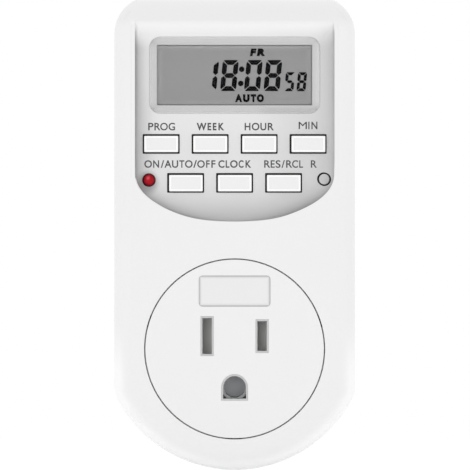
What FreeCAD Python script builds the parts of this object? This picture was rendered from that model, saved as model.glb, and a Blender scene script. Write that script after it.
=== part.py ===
import FreeCAD
import Part
import math
import os

from FreeCAD import Vector

# A plug-in timer for a North American wall outlet, built as the real one is: two
# moulded half shells, a sunken control panel with a display, seven push keys and a
# reset button, a round outlet face with a sliding safety shutter, brass contacts in
# an insulating block, two blades and an earth pin at the back, and two circuit boards.
#
# X points right and Z up as the timer hangs on a wall, and Y points into the wall.
# The origin is on the flat rear face, midway between the two blades.
# All sizes are in millimetres.

# Case
case_width = 55.7
case_depth = 36.0
case_top_z = 78.8
top_corner_radius = 9.0
round_end_spread = 2.85      # the radius of the large lower arc, past half the width
round_end_radius = case_width / 2 + round_end_spread
round_end_z = -0.3
side_blend_radius = 5.0      # where the straight sides meet the large arc
wall = 2.0
front_edge_round = 4.5
rear_edge_round = 2.4
rear_shell_depth = 14.0
seam_chamfer = 0.3
lip_height = 1.6
lip_thickness = 0.8
lip_clearance = 0.1
post_clearance = 0.5

# Sunken control panel
panel_side_margin = 4.85
panel_width = case_width - 2 * panel_side_margin
panel_side_end_z = 37.2      # below this the outline is half an ellipse
panel_end_height = 10.7
panel_depth = 2.0
panel_cove_radius = 3.4
panel_flat_top_z = 68.2      # above this the floor rises gently to the case front
panel_ramp_length = 5.2
panel_ramp_rise = 0.1        # the ramp ends this far in front of the case front
panel_ramp_ease = 0.15
panel_wall = 1.8
panel_pad_margin = 1.2       # how far the thick wall behind the panel reaches past it

# Display
cell_width = 37.4            # the cell's size sets those of the view and the window
cell_height = 15.6
cell_thickness = 2.0
view_side_inset = 0.85
view_end_inset = 0.9
view_width = cell_width - 2 * view_side_inset
view_height = cell_height - 2 * view_end_inset
view_corner = 0.3
window_side_border = 1.85
window_end_border = 1.95
window_width = view_width + 2 * window_side_border
window_height = view_height + 2 * window_end_border
window_corner = 2.6
window_z = 60.3
window_thickness = 1.05
window_sink = 0.1            # the lens lies this far under the panel floor
window_gap = 0.06
mask_thickness = 0.15
strip_height = 1.8
strip_inset = 1.1
strip_end_margin = 1.5
reflector_thickness = 0.2
reflector_clearance = 0.5
reflector_height = cell_height - 2 * strip_inset - strip_height - 2 * reflector_clearance
display_frame_wall = 0.9
seat_gap = 0.1

# Keys
key_width = 7.8
key_height = 3.8
key_corner = 0.2
key_proud = 0.9
key_edge_round = 0.15
key_dish_border = 0.5
key_dish_depth = 0.12
key_gap = 0.38
key_flange_margin = 0.7
key_flange_thickness = 0.9
key_side_margin = 2.12
key_pitch = (panel_width - key_width - 2 * key_side_margin) / 3
upper_keys_z = 44.4
lower_keys_z = 35.4
reset_side_margin = 2.4
reset_x = panel_width / 2 - reset_side_margin
reset_z = 36.3
reset_radius = 1.15
reset_proud = 0.3
reset_flange_radius = 1.9
keypad_thickness = 0.9
keypad_margin = 0.4
dome_inset = 0.5
dome_wall = 0.8
dome_roof = 0.9

# Indicator lamp
lamp_side_margin = 3.2
lamp_x = lamp_side_margin - panel_width / 2
lamp_z = 36.05
lamp_radius = 1.45
lamp_length = 5.3
lamp_proud = 1.1
lamp_gap = 0.12
lamp_rim_radius = 1.8
lamp_rim_thickness = 0.9
lamp_lead = 0.5
lamp_lead_pitch = 2.0
lead_hole_radius = 0.45
lead_end = 0.8

# Control board
control_board_gap = 2.0      # between the display cell and the board
control_board_thickness = 1.6
board_side_gap = 1.45
control_board_width = case_width - 2 * wall - 2 * board_side_gap
control_board_low_z = 27.2
control_board_high_z = 71.2
board_corner = 1.0
control_post_radius = 1.8
control_post_x = 12.0
control_post_z = 29.8
control_post_inset = 2.5
control_post_rise = 5.0      # above the upper keys, below the display
control_post_upper_x = control_board_width / 2 - control_post_inset
control_post_upper_z = upper_keys_z + control_post_rise

# Outlet face
outlet_z = -2.95             # centre of the round face
face_ring = 10.1             # between the face and the edge of the large arc
face_radius = round_end_radius - face_ring
face_gap = 0.32
face_flange_overlap = 1.1
face_flange_thickness = 1.6
blade_pitch = 12.7
slot_width = 2.16
neutral_slot_height = 8.3
line_slot_height = 6.86
slot_chamfer = 0.5
earth_z = -11.9
earth_slot_radius = 2.65
earth_slot_low_z = -14.46
plate_width = 16.4
plate_height = 7.0
plate_corner = 0.8
plate_top_margin = 7.25
plate_z = outlet_z + face_radius - plate_top_margin
plate_thickness = 0.8
plate_gap = 0.08

# Safety shutter
shutter_travel = 3.2
shutter_thickness = 3.0
shutter_height = 11.0
shutter_gap = 0.15
shutter_window_margin = 0.3
shutter_land = 1.5
shutter_floor = 0.6
shutter_rail = 1.2
spring_radius = 1.2
spring_wire = 0.3            # diameter
spring_turns = 4
spring_peg_radius = 0.6
spring_peg_length = 0.8

# Contact block behind the outlet face
block_width = 31.0
block_top_z = 9.6
block_low_z = -19.4
block_corner = 3.0
block_depth = 16.4
block_front_wall = 1.5
block_slot_margin = 0.3
pocket_width = 5.2
pocket_height = 9.6
earth_pocket = 8.4
ear_thickness = 2.0
ear_radius = 2.6
block_screw_margin = 0.9
block_screw_x = face_radius + block_screw_margin
block_screw_z = 4.0
block_screw_low_margin = 1.85
block_screw_low_z = outlet_z - face_radius - block_screw_low_margin
block_post_radius = 2.1
cover_thickness = 1.6
stake_radius = 0.8
stake_inset = 3.0
stake_head = 0.4
fit_gap = 0.1

# Outlet contacts
contact_metal = 0.7
contact_height = 7.6
contact_mouth = 3.6
contact_throat = 1.3
contact_spread = 3.2
contact_mouth_depth = 4.5
contact_neck_depth = 3.0
contact_front_gap = 0.3
tail_height = 3.0
earth_sleeve_radius = 2.45
earth_sleeve_length = 12.0
earth_sleeve_slit = 2.6
earth_tail_width = 3.4

# Plug at the back
blade_width = 6.35
blade_thickness = 1.5
blade_length = 17.5
blade_shoulder_height = 10.0
blade_shoulder_depth = 2.0
blade_tail = 3.4
blade_tip_chamfer = 0.4
blade_tip_taper = 1.6
blade_hole_radius = 1.6
blade_hole_distance = 11.9
blade_clearance = 0.06
earth_pin_radius = 2.375
earth_shank_radius = 2.7     # the stretch inside the rear wall
earth_pin_length = 20.6
earth_pin_tip_round = 1.9
earth_head_radius = 4.0
earth_stub_radius = 1.6
retainer_thickness = 2.4
retainer_width = 30.0
retainer_top_z = 7.4
retainer_low_z = -18.0
retainer_post_x = 12.4
retainer_post_z = -8.0
retainer_post_radius = 2.3

# Screws
case_screw_side_inset = 5.35
case_screw_top_inset = 6.4
case_screw_x = case_width / 2 - case_screw_side_inset
case_screw_top_z = case_top_z - case_screw_top_inset
case_screw_ring = 3.87       # from the edge of the large arc to the lower screws
case_screw_angle = 38.5      # of the lower screws, below the horizontal
case_screw_low_x = (round_end_radius - case_screw_ring) * math.cos(math.radians(case_screw_angle))
case_screw_low_drop = (round_end_radius - case_screw_ring) * math.sin(math.radians(case_screw_angle))
case_screw_low_z = round_end_z - case_screw_low_drop
case_post_radius = 3.2
case_screw_radius = 1.3
case_screw_length = 14.0
case_screw_head_radius = 2.5
case_screw_head_height = 1.9
case_screw_sink = 6.0
small_screw_radius = 0.9
small_screw_length = 5.0
small_screw_head_radius = 1.75
small_screw_head_height = 1.2
thread_clearance = 0.05
through_clearance = 0.2
screw_end_gap = 0.4
head_round_share = 0.45      # of the head's height
recess_arm_share = 0.6       # of the head's radius
recess_width = 0.6
recess_depth = 0.7

# Label on the rear face
label_side_margin = 8.85
label_width = case_width - 2 * label_side_margin
label_height = 24.0
label_corner = 1.5
label_z = 44.0
label_sink = 0.3
label_thickness = 0.15
label_gap = 0.3

# Power board and what it carries. Places are (x, z) on the board.
power_board_lift = 3.0
power_board_thickness = 1.6
power_board_inset = 2.4
power_board_width = control_board_width - 2 * power_board_inset
power_board_low_z = 14.0
power_board_high_z = 74.0
power_post_inset = 3.0
power_post_x = power_board_width / 2 - power_post_inset
power_post_low_z = 19.0
power_post_high_z = 60.0
power_post_radius = 2.3
part_lift = 0.4
lead_radius = 0.3
axial_leg_reach = 1.2
relay_width = 15.4
relay_height = 15.4
relay_length = 19.2
relay_place = (11.0, 34.0)
mains_capacitor_width = 13.0
mains_capacitor_height = 12.0
mains_capacitor_thickness = 6.5
mains_capacitor_place = (-12.0, 26.0)
smoothing_radius = 4.0
smoothing_height = 11.0
smoothing_place = (-14.6, 36.4)
varistor_radius = 4.4
varistor_thickness = 3.6
varistor_place = (13.0, 50.0)
resistor_radius = 2.0
resistor_length = 9.0
resistor_place = (-9.5, 66.0)
diode_radius = 1.3
diode_length = 5.0
diode_place = (-14.0, 44.0)
diode_pitch = 3.6
diode_count = 4
transistor_radius = 2.3
transistor_height = 5.0
transistor_flat = 1.4        # from the centre to the flat side
transistor_place = (2.0, 52.0)
fuse_radius = 1.8
fuse_length = 8.0
fuse_distance = 8.0          # from the screw beside it
fuse_place = (power_post_x - fuse_distance, 20.5)
mould_corner = 0.8

# On the back of the control board
blob_radius = 4.6
blob_height = 1.3
blob_place = (6.0, 61.0)
cell_radius = 5.8
backup_cell_height = 5.4
backup_cell_place = (-12.0, 59.0)
tab_width = 3.0
tab_thickness = 0.3
tab_reach = 0.7
crystal_radius = 1.0
crystal_length = 6.0
crystal_place = (15.0, 60.0)
connector_width = 9.0
connector_height = 3.6
connector_depth = 3.0
control_connector_place = (-2.0, 40.0)
power_connector_place = (-2.0, 62.0)
ribbon_width = 7.0
ribbon_thickness = 1.2
ribbon_straight = 4.0

# Wires
bend_share = 0.45            # of the shorter run beside a bend, taken by its arc
wire_radius = 1.1
wire_board_z = 16.2
blade_wire_x = 7.4
blade_wire_turn_z = 8.5
contact_wire_inset = 1.0
contact_wire_x = block_width / 2 - contact_wire_inset

# Planes worked out from the sizes above
front_y = -case_depth
seam_y = -rear_shell_depth
front_inner_y = front_y + wall
rear_inner_y = -wall
panel_y = front_y + panel_depth
panel_inner_y = panel_y + panel_wall
window_front_y = panel_y + window_sink
mask_front_y = window_front_y + window_thickness
ledge_y = mask_front_y + mask_thickness
display_front_y = panel_inner_y + seat_gap
display_rear_y = display_front_y + cell_thickness
board_front_y = display_rear_y + control_board_gap
board_rear_y = board_front_y + control_board_thickness
flange_front_y = panel_inner_y + seat_gap
flange_rear_y = flange_front_y + key_flange_thickness
keypad_front_y = board_front_y - keypad_thickness
lamp_tip_y = panel_y - lamp_proud
face_flange_rear_y = front_inner_y + face_flange_thickness
shutter_front_y = face_flange_rear_y + shutter_gap
shutter_rear_y = shutter_front_y + shutter_thickness
block_front_y = shutter_rear_y + shutter_gap
block_rear_y = block_front_y + block_depth
ear_rear_y = block_front_y + ear_thickness
pocket_front_y = block_front_y + block_front_wall
cover_rear_y = block_rear_y + cover_thickness
shoulder_front_y = rear_inner_y - blade_shoulder_depth
retainer_rear_y = shoulder_front_y - seat_gap
retainer_front_y = retainer_rear_y - retainer_thickness
blade_front_y = retainer_front_y - blade_tail
power_rear_y = rear_inner_y - power_board_lift
power_front_y = power_rear_y - power_board_thickness
line_x = blade_pitch / 2
neutral_x = -blade_pitch / 2
case_screws = [
    (-case_screw_x, case_screw_top_z),
    (case_screw_x, case_screw_top_z),
    (-case_screw_low_x, case_screw_low_z),
    (case_screw_low_x, case_screw_low_z),
]
block_screws = [
    (-block_screw_x, block_screw_z),
    (block_screw_x, block_screw_z),
    (0.0, block_screw_low_z),
]
control_posts = [
    (-control_post_x, control_post_z),
    (control_post_x, control_post_z),
    (-control_post_upper_x, control_post_upper_z),
    (control_post_upper_x, control_post_upper_z),
]
power_posts = [
    (-power_post_x, power_post_low_z),
    (power_post_x, power_post_low_z),
    (-power_post_x, power_post_high_z),
    (power_post_x, power_post_high_z),
]
retainer_posts = [(-retainer_post_x, retainer_post_z), (retainer_post_x, retainer_post_z)]
keys = {
    "key_program": (-1.5 * key_pitch, upper_keys_z),
    "key_week": (-0.5 * key_pitch, upper_keys_z),
    "key_hour": (0.5 * key_pitch, upper_keys_z),
    "key_minute": (1.5 * key_pitch, upper_keys_z),
    "key_mode": (-key_pitch, lower_keys_z),
    "key_clock": (0.0, lower_keys_z),
    "key_recall": (key_pitch, lower_keys_z),
}


# Basic solids

def line(a, b):
    return Part.LineSegment(a, b).toShape()


def arc(a, middle, b):
    return Part.Arc(a, middle, b).toShape()


def round_point(centre, radius, degrees):
    """A point on a circle in the XZ plane, at an angle from +X towards +Z."""
    turn = math.radians(degrees)
    return Vector(centre[0] + radius * math.cos(turn), 0, centre[1] + radius * math.sin(turn))


def thick(edges, y0, y1):
    """The closed outline, drawn in the XZ plane, as a solid from y0 to y1."""
    face = Part.Face(Part.Wire(edges))
    face.translate(Vector(0, y0, 0))
    return face.extrude(Vector(0, y1 - y0, 0))


def slab(cx, cz, width, height, corner, y0, y1):
    """A plate with rounded corners, facing along Y."""
    w = width / 2 - corner
    h = height / 2 - corner
    edges = []
    start = Vector(cx + w + corner, 0, cz - h)
    for sx, sz, turn in ((1, 1, 0), (-1, 1, 90), (-1, -1, 180), (1, -1, 270)):
        centre = (cx + sx * w, cz + sz * h)
        a = round_point(centre, corner, turn)
        b = round_point(centre, corner, turn + 90)
        edges.append(line(start, a))
        edges.append(arc(a, round_point(centre, corner, turn + 45), b))
        start = b
    return thick(edges, y0, y1)


def block(x0, x1, y0, y1, z0, z1):
    return Part.makeBox(x1 - x0, y1 - y0, z1 - z0, Vector(x0, y0, z0))


def rod(x, z, radius, y0, y1):
    """A round bar along Y."""
    return Part.makeCylinder(radius, y1 - y0, Vector(x, y0, z), Vector(0, 1, 0))


def bar(x0, x1, y, z, radius):
    """A round bar along X."""
    return Part.makeCylinder(radius, x1 - x0, Vector(x0, y, z), Vector(1, 0, 0))


def united(first, *others):
    return first.fuse(list(others)).removeSplitter()


def edges_at_y(shape, y):
    """The edges that lie wholly in the plane of that y."""
    return [
        edge
        for edge in shape.Edges
        if abs(edge.BoundBox.YMin - y) < 1e-4 and abs(edge.BoundBox.YMax - y) < 1e-4
    ]


def rounded_at(shape, y, radius):
    return shape.makeFillet(radius, edges_at_y(shape, y))


def chamfered_at(shape, y, size):
    return shape.makeChamfer(size, edges_at_y(shape, y))


def bent_sheet(points, thickness, z0, z1):
    """Sheet metal along (x, y) points, with mitred bends, standing from z0 to z1."""
    spots = [Vector(x, y, z0) for x, y in points]
    runs = [b.sub(a).normalize() for a, b in zip(spots, spots[1:])]
    left = []
    right = []
    for i, spot in enumerate(spots):
        into = runs[max(i - 1, 0)]
        out = runs[min(i, len(runs) - 1)]
        side = Vector(-into.y, into.x, 0)
        across = side.add(Vector(-out.y, out.x, 0)).normalize()
        across.multiply(thickness / 2 / across.dot(side))
        left.append(spot.add(across))
        right.append(spot.sub(across))
    corners = left + right[::-1]
    face = Part.Face(Part.makePolygon(corners + corners[:1]))
    return face.extrude(Vector(0, 0, z1 - z0))


def bent_path(points):
    """Straight runs joined by tangent arcs, each as large as its two runs allow."""
    edges = []
    start = points[0]
    for before, corner, after in zip(points, points[1:], points[2:]):
        back = before.sub(corner)
        ahead = after.sub(corner)
        half_turn = (math.pi - back.getAngle(ahead)) / 2
        reach = bend_share * min(back.Length, ahead.Length)
        radius = reach / math.tan(half_turn)
        back.normalize()
        ahead.normalize()
        a = corner + back * reach
        b = corner + ahead * reach
        inwards = (back + ahead).normalize()
        middle = corner + inwards * (radius / math.cos(half_turn) - radius)
        edges.append(line(start, a))
        edges.append(arc(a, middle, b))
        start = b
    edges.append(line(start, points[-1]))
    return Part.Wire(edges)


def wire(points, radius):
    """A round wire along a bent path."""
    profile = Part.Wire(Part.makeCircle(radius, points[0], points[1].sub(points[0])))
    return bent_path(points).makePipeShell([profile], True, False)


def screw(x, z, y, towards, radius, length, head_radius, head_height):
    """A pan head screw. Its head sits on the plane y, and its shank runs along Y from there."""
    shank_end = y + towards * length
    head_top = y - towards * head_height
    shank = rod(x, z, radius, min(y, shank_end), max(y, shank_end))
    head = rod(x, z, head_radius, min(y, head_top), max(y, head_top))
    head = rounded_at(head, head_top, head_round_share * head_height)
    deep = head_top + towards * recess_depth
    low = min(head_top, deep)
    high = max(head_top, deep)
    arm = recess_arm_share * head_radius
    thin = recess_width / 2
    cross = united(
        block(x - arm, x + arm, low, high, z - thin, z + thin),
        block(x - thin, x + thin, low, high, z - arm, z + arm),
    )
    return united(shank, head).cut(cross)


def case_screw(x, z):
    return screw(
        x,
        z,
        -case_screw_sink,
        -1,
        case_screw_radius,
        case_screw_length,
        case_screw_head_radius,
        case_screw_head_height,
    )


def small_screw(x, z, y, towards):
    return screw(
        x,
        z,
        y,
        towards,
        small_screw_radius,
        small_screw_length,
        small_screw_head_radius,
        small_screw_head_height,
    )


def small_pilot(x, z, y, towards):
    """The hole that a small screw, seated at y, cuts its thread in."""
    end = y + towards * (small_screw_length + screw_end_gap)
    return rod(x, z, small_screw_radius + thread_clearance, min(y, end), max(y, end))


def screw_holes(places, y0, y1):
    radius = small_screw_radius + through_clearance
    return [rod(x, z, radius, y0, y1) for x, z in places]


# Case

def case_outline(inset):
    """The outline of the case, moved in by the inset."""
    half = case_width / 2 - inset
    top = case_top_z - inset
    corner = top_corner_radius - inset
    big = round_end_radius - inset
    blend = side_blend_radius - inset
    drop = math.sqrt((big - blend) ** 2 - (half - blend) ** 2)
    turn = math.degrees(math.atan2(drop, half - blend))
    blend_z = round_end_z - drop
    ends = (0.0, round_end_z)
    right_touch = round_point(ends, big, -turn)
    left_touch = round_point(ends, big, turn - 180)
    right_corner = (half - corner, top - corner)
    left_corner = (corner - half, top - corner)
    right_blend = (half - blend, blend_z)
    left_blend = (blend - half, blend_z)
    right_low = Vector(half, 0, blend_z)
    left_low = Vector(-half, 0, blend_z)
    right_high = round_point(right_corner, corner, 0)
    left_high = round_point(left_corner, corner, 180)
    top_right = round_point(right_corner, corner, 90)
    top_left = round_point(left_corner, corner, 90)
    return [
        line(right_low, right_high),
        arc(right_high, round_point(right_corner, corner, 45), top_right),
        line(top_right, top_left),
        arc(top_left, round_point(left_corner, corner, 135), left_high),
        line(left_high, left_low),
        arc(left_low, round_point(left_blend, blend, 180 + turn / 4), left_touch),
        arc(left_touch, round_point(ends, big, -90), right_touch),
        arc(right_touch, round_point(right_blend, blend, -turn / 4), right_low),
    ]


def panel_outline(margin, top_z):
    """The outline of the sunken panel: straight sides on half an ellipse."""
    half = panel_width / 2 + margin
    drop = panel_end_height + margin
    right = Vector(half, 0, panel_side_end_z)
    left = Vector(-half, 0, panel_side_end_z)
    top_right = Vector(half, 0, top_z)
    top_left = Vector(-half, 0, top_z)
    low = Vector(0, 0, panel_side_end_z - drop)
    centre = Vector(0, 0, panel_side_end_z)
    ellipse = Part.Ellipse(right, low, centre)
    start = ellipse.parameter(right)
    end = ellipse.parameter(left)
    if end <= start:
        end += 2 * math.pi
    return [
        ellipse.toShape(start, end),
        line(left, top_left),
        line(top_left, top_right),
        line(top_right, right),
    ]


def panel_hollow():
    """The sunken room of the panel, with a cove round its floor and a ramp at its top."""
    rise = panel_cove_radius - panel_depth
    overhang = panel_cove_radius - math.sqrt(panel_cove_radius ** 2 - rise ** 2)
    outside_y = front_y - panel_cove_radius
    ramp_top_z = panel_flat_top_z + panel_ramp_length
    room = thick(panel_outline(overhang, ramp_top_z + panel_cove_radius), outside_y, panel_y)
    room = rounded_at(room, panel_y, panel_cove_radius)
    foot = Vector(-case_width, panel_y, panel_flat_top_z)
    third = panel_ramp_length / 3
    crest = Vector(-case_width, front_y - panel_ramp_rise, ramp_top_z)
    ramp = Part.BezierCurve()
    ramp.setPoles([
        foot,
        Vector(-case_width, panel_y, panel_flat_top_z + third),
        Vector(-case_width, front_y + panel_ramp_ease, ramp_top_z - third),
        crest,
    ])
    high_z = case_top_z + panel_cove_radius
    deep_y = panel_y + wall
    corners = [
        crest,
        Vector(-case_width, front_y - panel_ramp_rise, high_z),
        Vector(-case_width, deep_y, high_z),
        Vector(-case_width, deep_y, panel_flat_top_z),
        foot,
    ]
    sides = [line(a, b) for a, b in zip(corners, corners[1:])]
    above = Part.Face(Part.Wire([ramp.toShape()] + sides))
    return room.cut(above.extrude(Vector(2 * case_width, 0, 0)))


def front_shell():
    shell = rounded_at(thick(case_outline(0), front_y, seam_y), front_y, front_edge_round)
    shell = chamfered_at(shell, seam_y, seam_chamfer)
    hollow = thick(case_outline(wall), front_inner_y, seam_y + wall)
    shell = shell.cut(rounded_at(hollow, front_inner_y, front_edge_round - wall))
    rebate_wall = wall - lip_thickness - lip_clearance
    rebate = thick(case_outline(rebate_wall), seam_y - lip_height - lip_clearance, seam_y + wall)
    root_y = front_inner_y - wall / 2
    pad_top_z = panel_flat_top_z + panel_ramp_length
    pad = thick(panel_outline(panel_pad_margin, pad_top_z), root_y, panel_inner_y)
    posts = [rod(x, z, case_post_radius, root_y, seam_y) for x, z in case_screws]
    posts += [rod(x, z, block_post_radius, root_y, block_front_y) for x, z in block_screws]
    posts += [rod(x, z, control_post_radius, panel_inner_y, board_front_y) for x, z in control_posts]
    shell = united(shell.cut(rebate), pad, *posts)
    shell = shell.common(thick(case_outline(0), front_y, seam_y))
    openings = [panel_hollow()]
    openings.append(rod(0, outlet_z, face_radius + face_gap, front_y - wall, front_inner_y + wall))
    openings.append(slab(
        0,
        window_z,
        window_width + 2 * window_gap,
        window_height + 2 * window_gap,
        window_corner + window_gap,
        front_y,
        ledge_y,
    ))
    through_y = panel_inner_y + wall
    openings.append(slab(0, window_z, view_width, view_height, view_corner, front_y, through_y))
    for x, z in keys.values():
        openings.append(slab(
            x,
            z,
            key_width + 2 * key_gap,
            key_height + 2 * key_gap,
            key_corner,
            front_y,
            through_y,
        ))
    openings.append(rod(reset_x, reset_z, reset_radius + key_gap, front_y, through_y))
    openings.append(rod(lamp_x, lamp_z, lamp_radius + lamp_gap, front_y, through_y))
    screw_end_y = -case_screw_sink - case_screw_length - screw_end_gap
    for x, z in case_screws:
        openings.append(rod(x, z, case_screw_radius + thread_clearance, screw_end_y, seam_y))
    openings += [small_pilot(x, z, ear_rear_y, -1) for x, z in block_screws]
    openings += [small_pilot(x, z, board_rear_y, -1) for x, z in control_posts]
    for opening in openings:
        shell = shell.cut(opening)
    return shell


def rear_shell():
    shell = rounded_at(thick(case_outline(0), seam_y, 0), 0, rear_edge_round)
    shell = chamfered_at(shell, seam_y, seam_chamfer)
    shell = shell.cut(thick(case_outline(wall), seam_y - wall, rear_inner_y))
    lip = thick(case_outline(wall - lip_thickness), seam_y - lip_height, seam_y + wall)
    lip = lip.cut(thick(case_outline(wall), seam_y - 2 * wall, seam_y + 2 * wall))
    for x, z in case_screws:
        lip = lip.cut(rod(x, z, case_post_radius + fit_gap, seam_y - wall, seam_y))
    inside_y = rear_inner_y + wall / 4
    posts = [rod(x, z, case_post_radius, seam_y, inside_y) for x, z in case_screws]
    posts += [rod(x, z, retainer_post_radius, retainer_rear_y, inside_y) for x, z in retainer_posts]
    posts += [rod(x, z, power_post_radius, power_rear_y, inside_y) for x, z in power_posts]
    shell = united(shell, lip, *posts)
    shell = shell.common(thick(case_outline(0), seam_y - wall, 0))
    openings = []
    head_hole = case_screw_head_radius + through_clearance
    for x, z in case_screws:
        openings.append(rod(x, z, head_hole, -case_screw_sink, wall))
        openings.append(rod(x, z, case_screw_radius + through_clearance, seam_y - wall, 0))
    openings += [small_pilot(x, z, retainer_front_y, 1) for x, z in retainer_posts]
    openings += [small_pilot(x, z, power_front_y, 1) for x, z in power_posts]
    gap = 2 * blade_clearance
    for x in (line_x, neutral_x):
        openings.append(slab(x, 0, blade_thickness + gap, blade_width + gap, gap, -2 * wall, wall))
    openings.append(rod(0, earth_z, earth_shank_radius + blade_clearance, -2 * wall, wall))
    openings.append(slab(
        0,
        label_z,
        label_width + 2 * label_gap,
        label_height + 2 * label_gap,
        label_corner + label_gap,
        -label_sink,
        wall,
    ))
    for opening in openings:
        shell = shell.cut(opening)
    return shell


def rear_label():
    return slab(
        0, label_z, label_width, label_height, label_corner, -label_sink, -label_sink + label_thickness
    )


# Display

def display_window():
    lens = slab(0, window_z, window_width, window_height, window_corner, window_front_y, mask_front_y)
    return chamfered_at(lens, window_front_y, window_gap * 2)


def window_mask():
    """The printed border behind the lens."""
    sheet = slab(0, window_z, window_width, window_height, window_corner, mask_front_y, ledge_y)
    return sheet.cut(slab(0, window_z, view_width, view_height, view_corner, front_y, 0))


def display_cell():
    """Two glass plates with liquid crystal between them. The rear one carries the contacts."""
    glass = cell_thickness / 2
    ledge = strip_inset + strip_height / 2
    front = slab(
        0, window_z, cell_width, cell_height - ledge, view_corner, display_front_y, display_front_y + glass
    )
    rear = slab(
        0, window_z, cell_width, cell_height, view_corner, display_front_y + glass, display_rear_y
    )
    return united(front, rear)


def display_reflector():
    rear_y = display_rear_y + reflector_thickness
    return slab(0, window_z, view_width, reflector_height, view_corner, display_rear_y, rear_y)


def contact_strips():
    """Two rubber strips that join the glass to the board."""
    half = cell_width / 2 - strip_end_margin
    rise = cell_height / 2 - strip_inset
    thin = strip_height / 2
    return Part.makeCompound([
        block(-half, half, display_rear_y, board_front_y, z - thin, z + thin)
        for z in (window_z - rise, window_z + rise)
    ])


def display_frame():
    """The plastic frame that holds the glass and the strips on the board."""
    inner_width = cell_width + 2 * seat_gap
    inner_height = cell_height + 2 * seat_gap
    rim = 2 * display_frame_wall
    frame = slab(
        0, window_z, inner_width + rim, inner_height + rim, board_corner, display_front_y, board_front_y
    )
    room = slab(0, window_z, inner_width, inner_height, view_corner, front_y, 0)
    return frame.cut(room)


# Keys

def key(x, z):
    """A cap with a shallow dish, and a flange that keeps it behind the panel."""
    top_y = panel_y - key_proud
    cap = slab(x, z, key_width, key_height, key_corner, top_y, flange_front_y)
    cap = rounded_at(cap, top_y, key_edge_round)
    dish = slab(
        x,
        z,
        key_width - 2 * key_dish_border,
        key_height - 2 * key_dish_border,
        key_corner,
        top_y - key_proud,
        top_y + key_dish_depth,
    )
    flange = slab(
        x,
        z,
        key_width + 2 * key_flange_margin,
        key_height + 2 * key_flange_margin,
        key_corner,
        flange_front_y,
        flange_rear_y,
    )
    return united(cap.cut(dish), flange)


def reset_button():
    top_y = panel_y - reset_proud
    pin = rounded_at(rod(reset_x, reset_z, reset_radius, top_y, flange_front_y), top_y, key_edge_round)
    return united(pin, rod(reset_x, reset_z, reset_flange_radius, flange_front_y, flange_rear_y))


def keypad():
    """A rubber sheet on the board, with a hollow dome under each key."""
    half_width = key_width / 2 + key_flange_margin + keypad_margin
    half_height = key_height / 2 + key_flange_margin + keypad_margin
    left = -1.5 * key_pitch - half_width
    right = reset_x + reset_flange_radius + keypad_margin
    lower_left = -key_pitch - half_width
    high_z = upper_keys_z + half_height
    low_z = lower_keys_z - half_height
    middle_z = (upper_keys_z + lower_keys_z) / 2
    sheet = united(
        block(left, -left, keypad_front_y, board_front_y, middle_z, high_z),
        block(lower_left, right, keypad_front_y, board_front_y, low_z, middle_z),
    )
    width = key_width - 2 * dome_inset
    height = key_height - 2 * dome_inset
    thin = 2 * dome_wall
    for x, z in keys.values():
        sheet = sheet.fuse(slab(x, z, width, height, key_corner, flange_rear_y, board_front_y))
    sheet = sheet.fuse(rod(reset_x, reset_z, reset_radius + dome_wall / 2, flange_rear_y, board_front_y))
    for x, z in keys.values():
        hollow = slab(
            x, z, width - thin, height - thin, key_corner, flange_rear_y + dome_roof, board_front_y
        )
        sheet = sheet.cut(hollow)
    room = rod(reset_x, reset_z, reset_radius / 2, flange_rear_y + dome_roof, board_front_y)
    return sheet.cut(room).removeSplitter()


def indicator_lamp():
    base_y = lamp_tip_y + lamp_length
    dome_y = lamp_tip_y + lamp_radius
    body = rod(lamp_x, lamp_z, lamp_radius, dome_y, base_y)
    dome = Part.makeSphere(lamp_radius, Vector(lamp_x, dome_y, lamp_z))
    rim = rod(lamp_x, lamp_z, lamp_rim_radius, base_y - lamp_rim_thickness, base_y)
    thin = lamp_lead / 2
    leads = [
        block(x - thin, x + thin, base_y, board_rear_y + lead_end, lamp_z - thin, lamp_z + thin)
        for x in (lamp_x - lamp_lead_pitch / 2, lamp_x + lamp_lead_pitch / 2)
    ]
    return united(body, dome, rim, *leads)


# Control board

def control_board():
    middle_z = (control_board_low_z + control_board_high_z) / 2
    height = control_board_high_z - control_board_low_z
    board = slab(
        0, middle_z, control_board_width, height, board_corner, board_front_y, board_rear_y
    )
    holes = screw_holes(control_posts, board_front_y - wall, board_rear_y + wall)
    holes += [
        rod(x, z, case_post_radius + post_clearance, board_front_y - wall, board_rear_y + wall)
        for x, z in case_screws
    ]
    holes += [
        rod(x, lamp_z, lead_hole_radius, board_front_y - wall, board_rear_y + wall)
        for x in (lamp_x - lamp_lead_pitch / 2, lamp_x + lamp_lead_pitch / 2)
    ]
    for hole in holes:
        board = board.cut(hole)
    return board


def controller_chip():
    """The chip sealed under a drop of black resin."""
    x, z = blob_place
    radius = (blob_radius ** 2 + blob_height ** 2) / (2 * blob_height)
    ball = Part.makeSphere(radius, Vector(x, board_rear_y + blob_height - radius, z))
    return ball.common(block(
        x - radius, x + radius, board_rear_y, board_rear_y + radius, z - radius, z + radius
    ))


def backup_cell():
    x, z = backup_cell_place
    low_y = board_rear_y + tab_thickness
    body = rod(x, z, cell_radius, low_y, low_y + backup_cell_height)
    return rounded_at(body, low_y + backup_cell_height, mould_corner)


def cell_tabs():
    """Two welded strips of nickel, one under the cell and one over it."""
    x, z = backup_cell_place
    half = tab_width / 2
    low_y = board_rear_y + tab_thickness / 2
    top_y = board_rear_y + tab_thickness + backup_cell_height + tab_thickness / 2
    reach = cell_radius + tab_reach
    under = bent_sheet([(x - reach, low_y), (x, low_y)], tab_thickness, z - half, z + half)
    over = bent_sheet(
        [(x - half, top_y), (x + reach, top_y), (x + reach, board_rear_y)],
        tab_thickness,
        z - half,
        z + half,
    )
    return Part.makeCompound([under, over])


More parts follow.
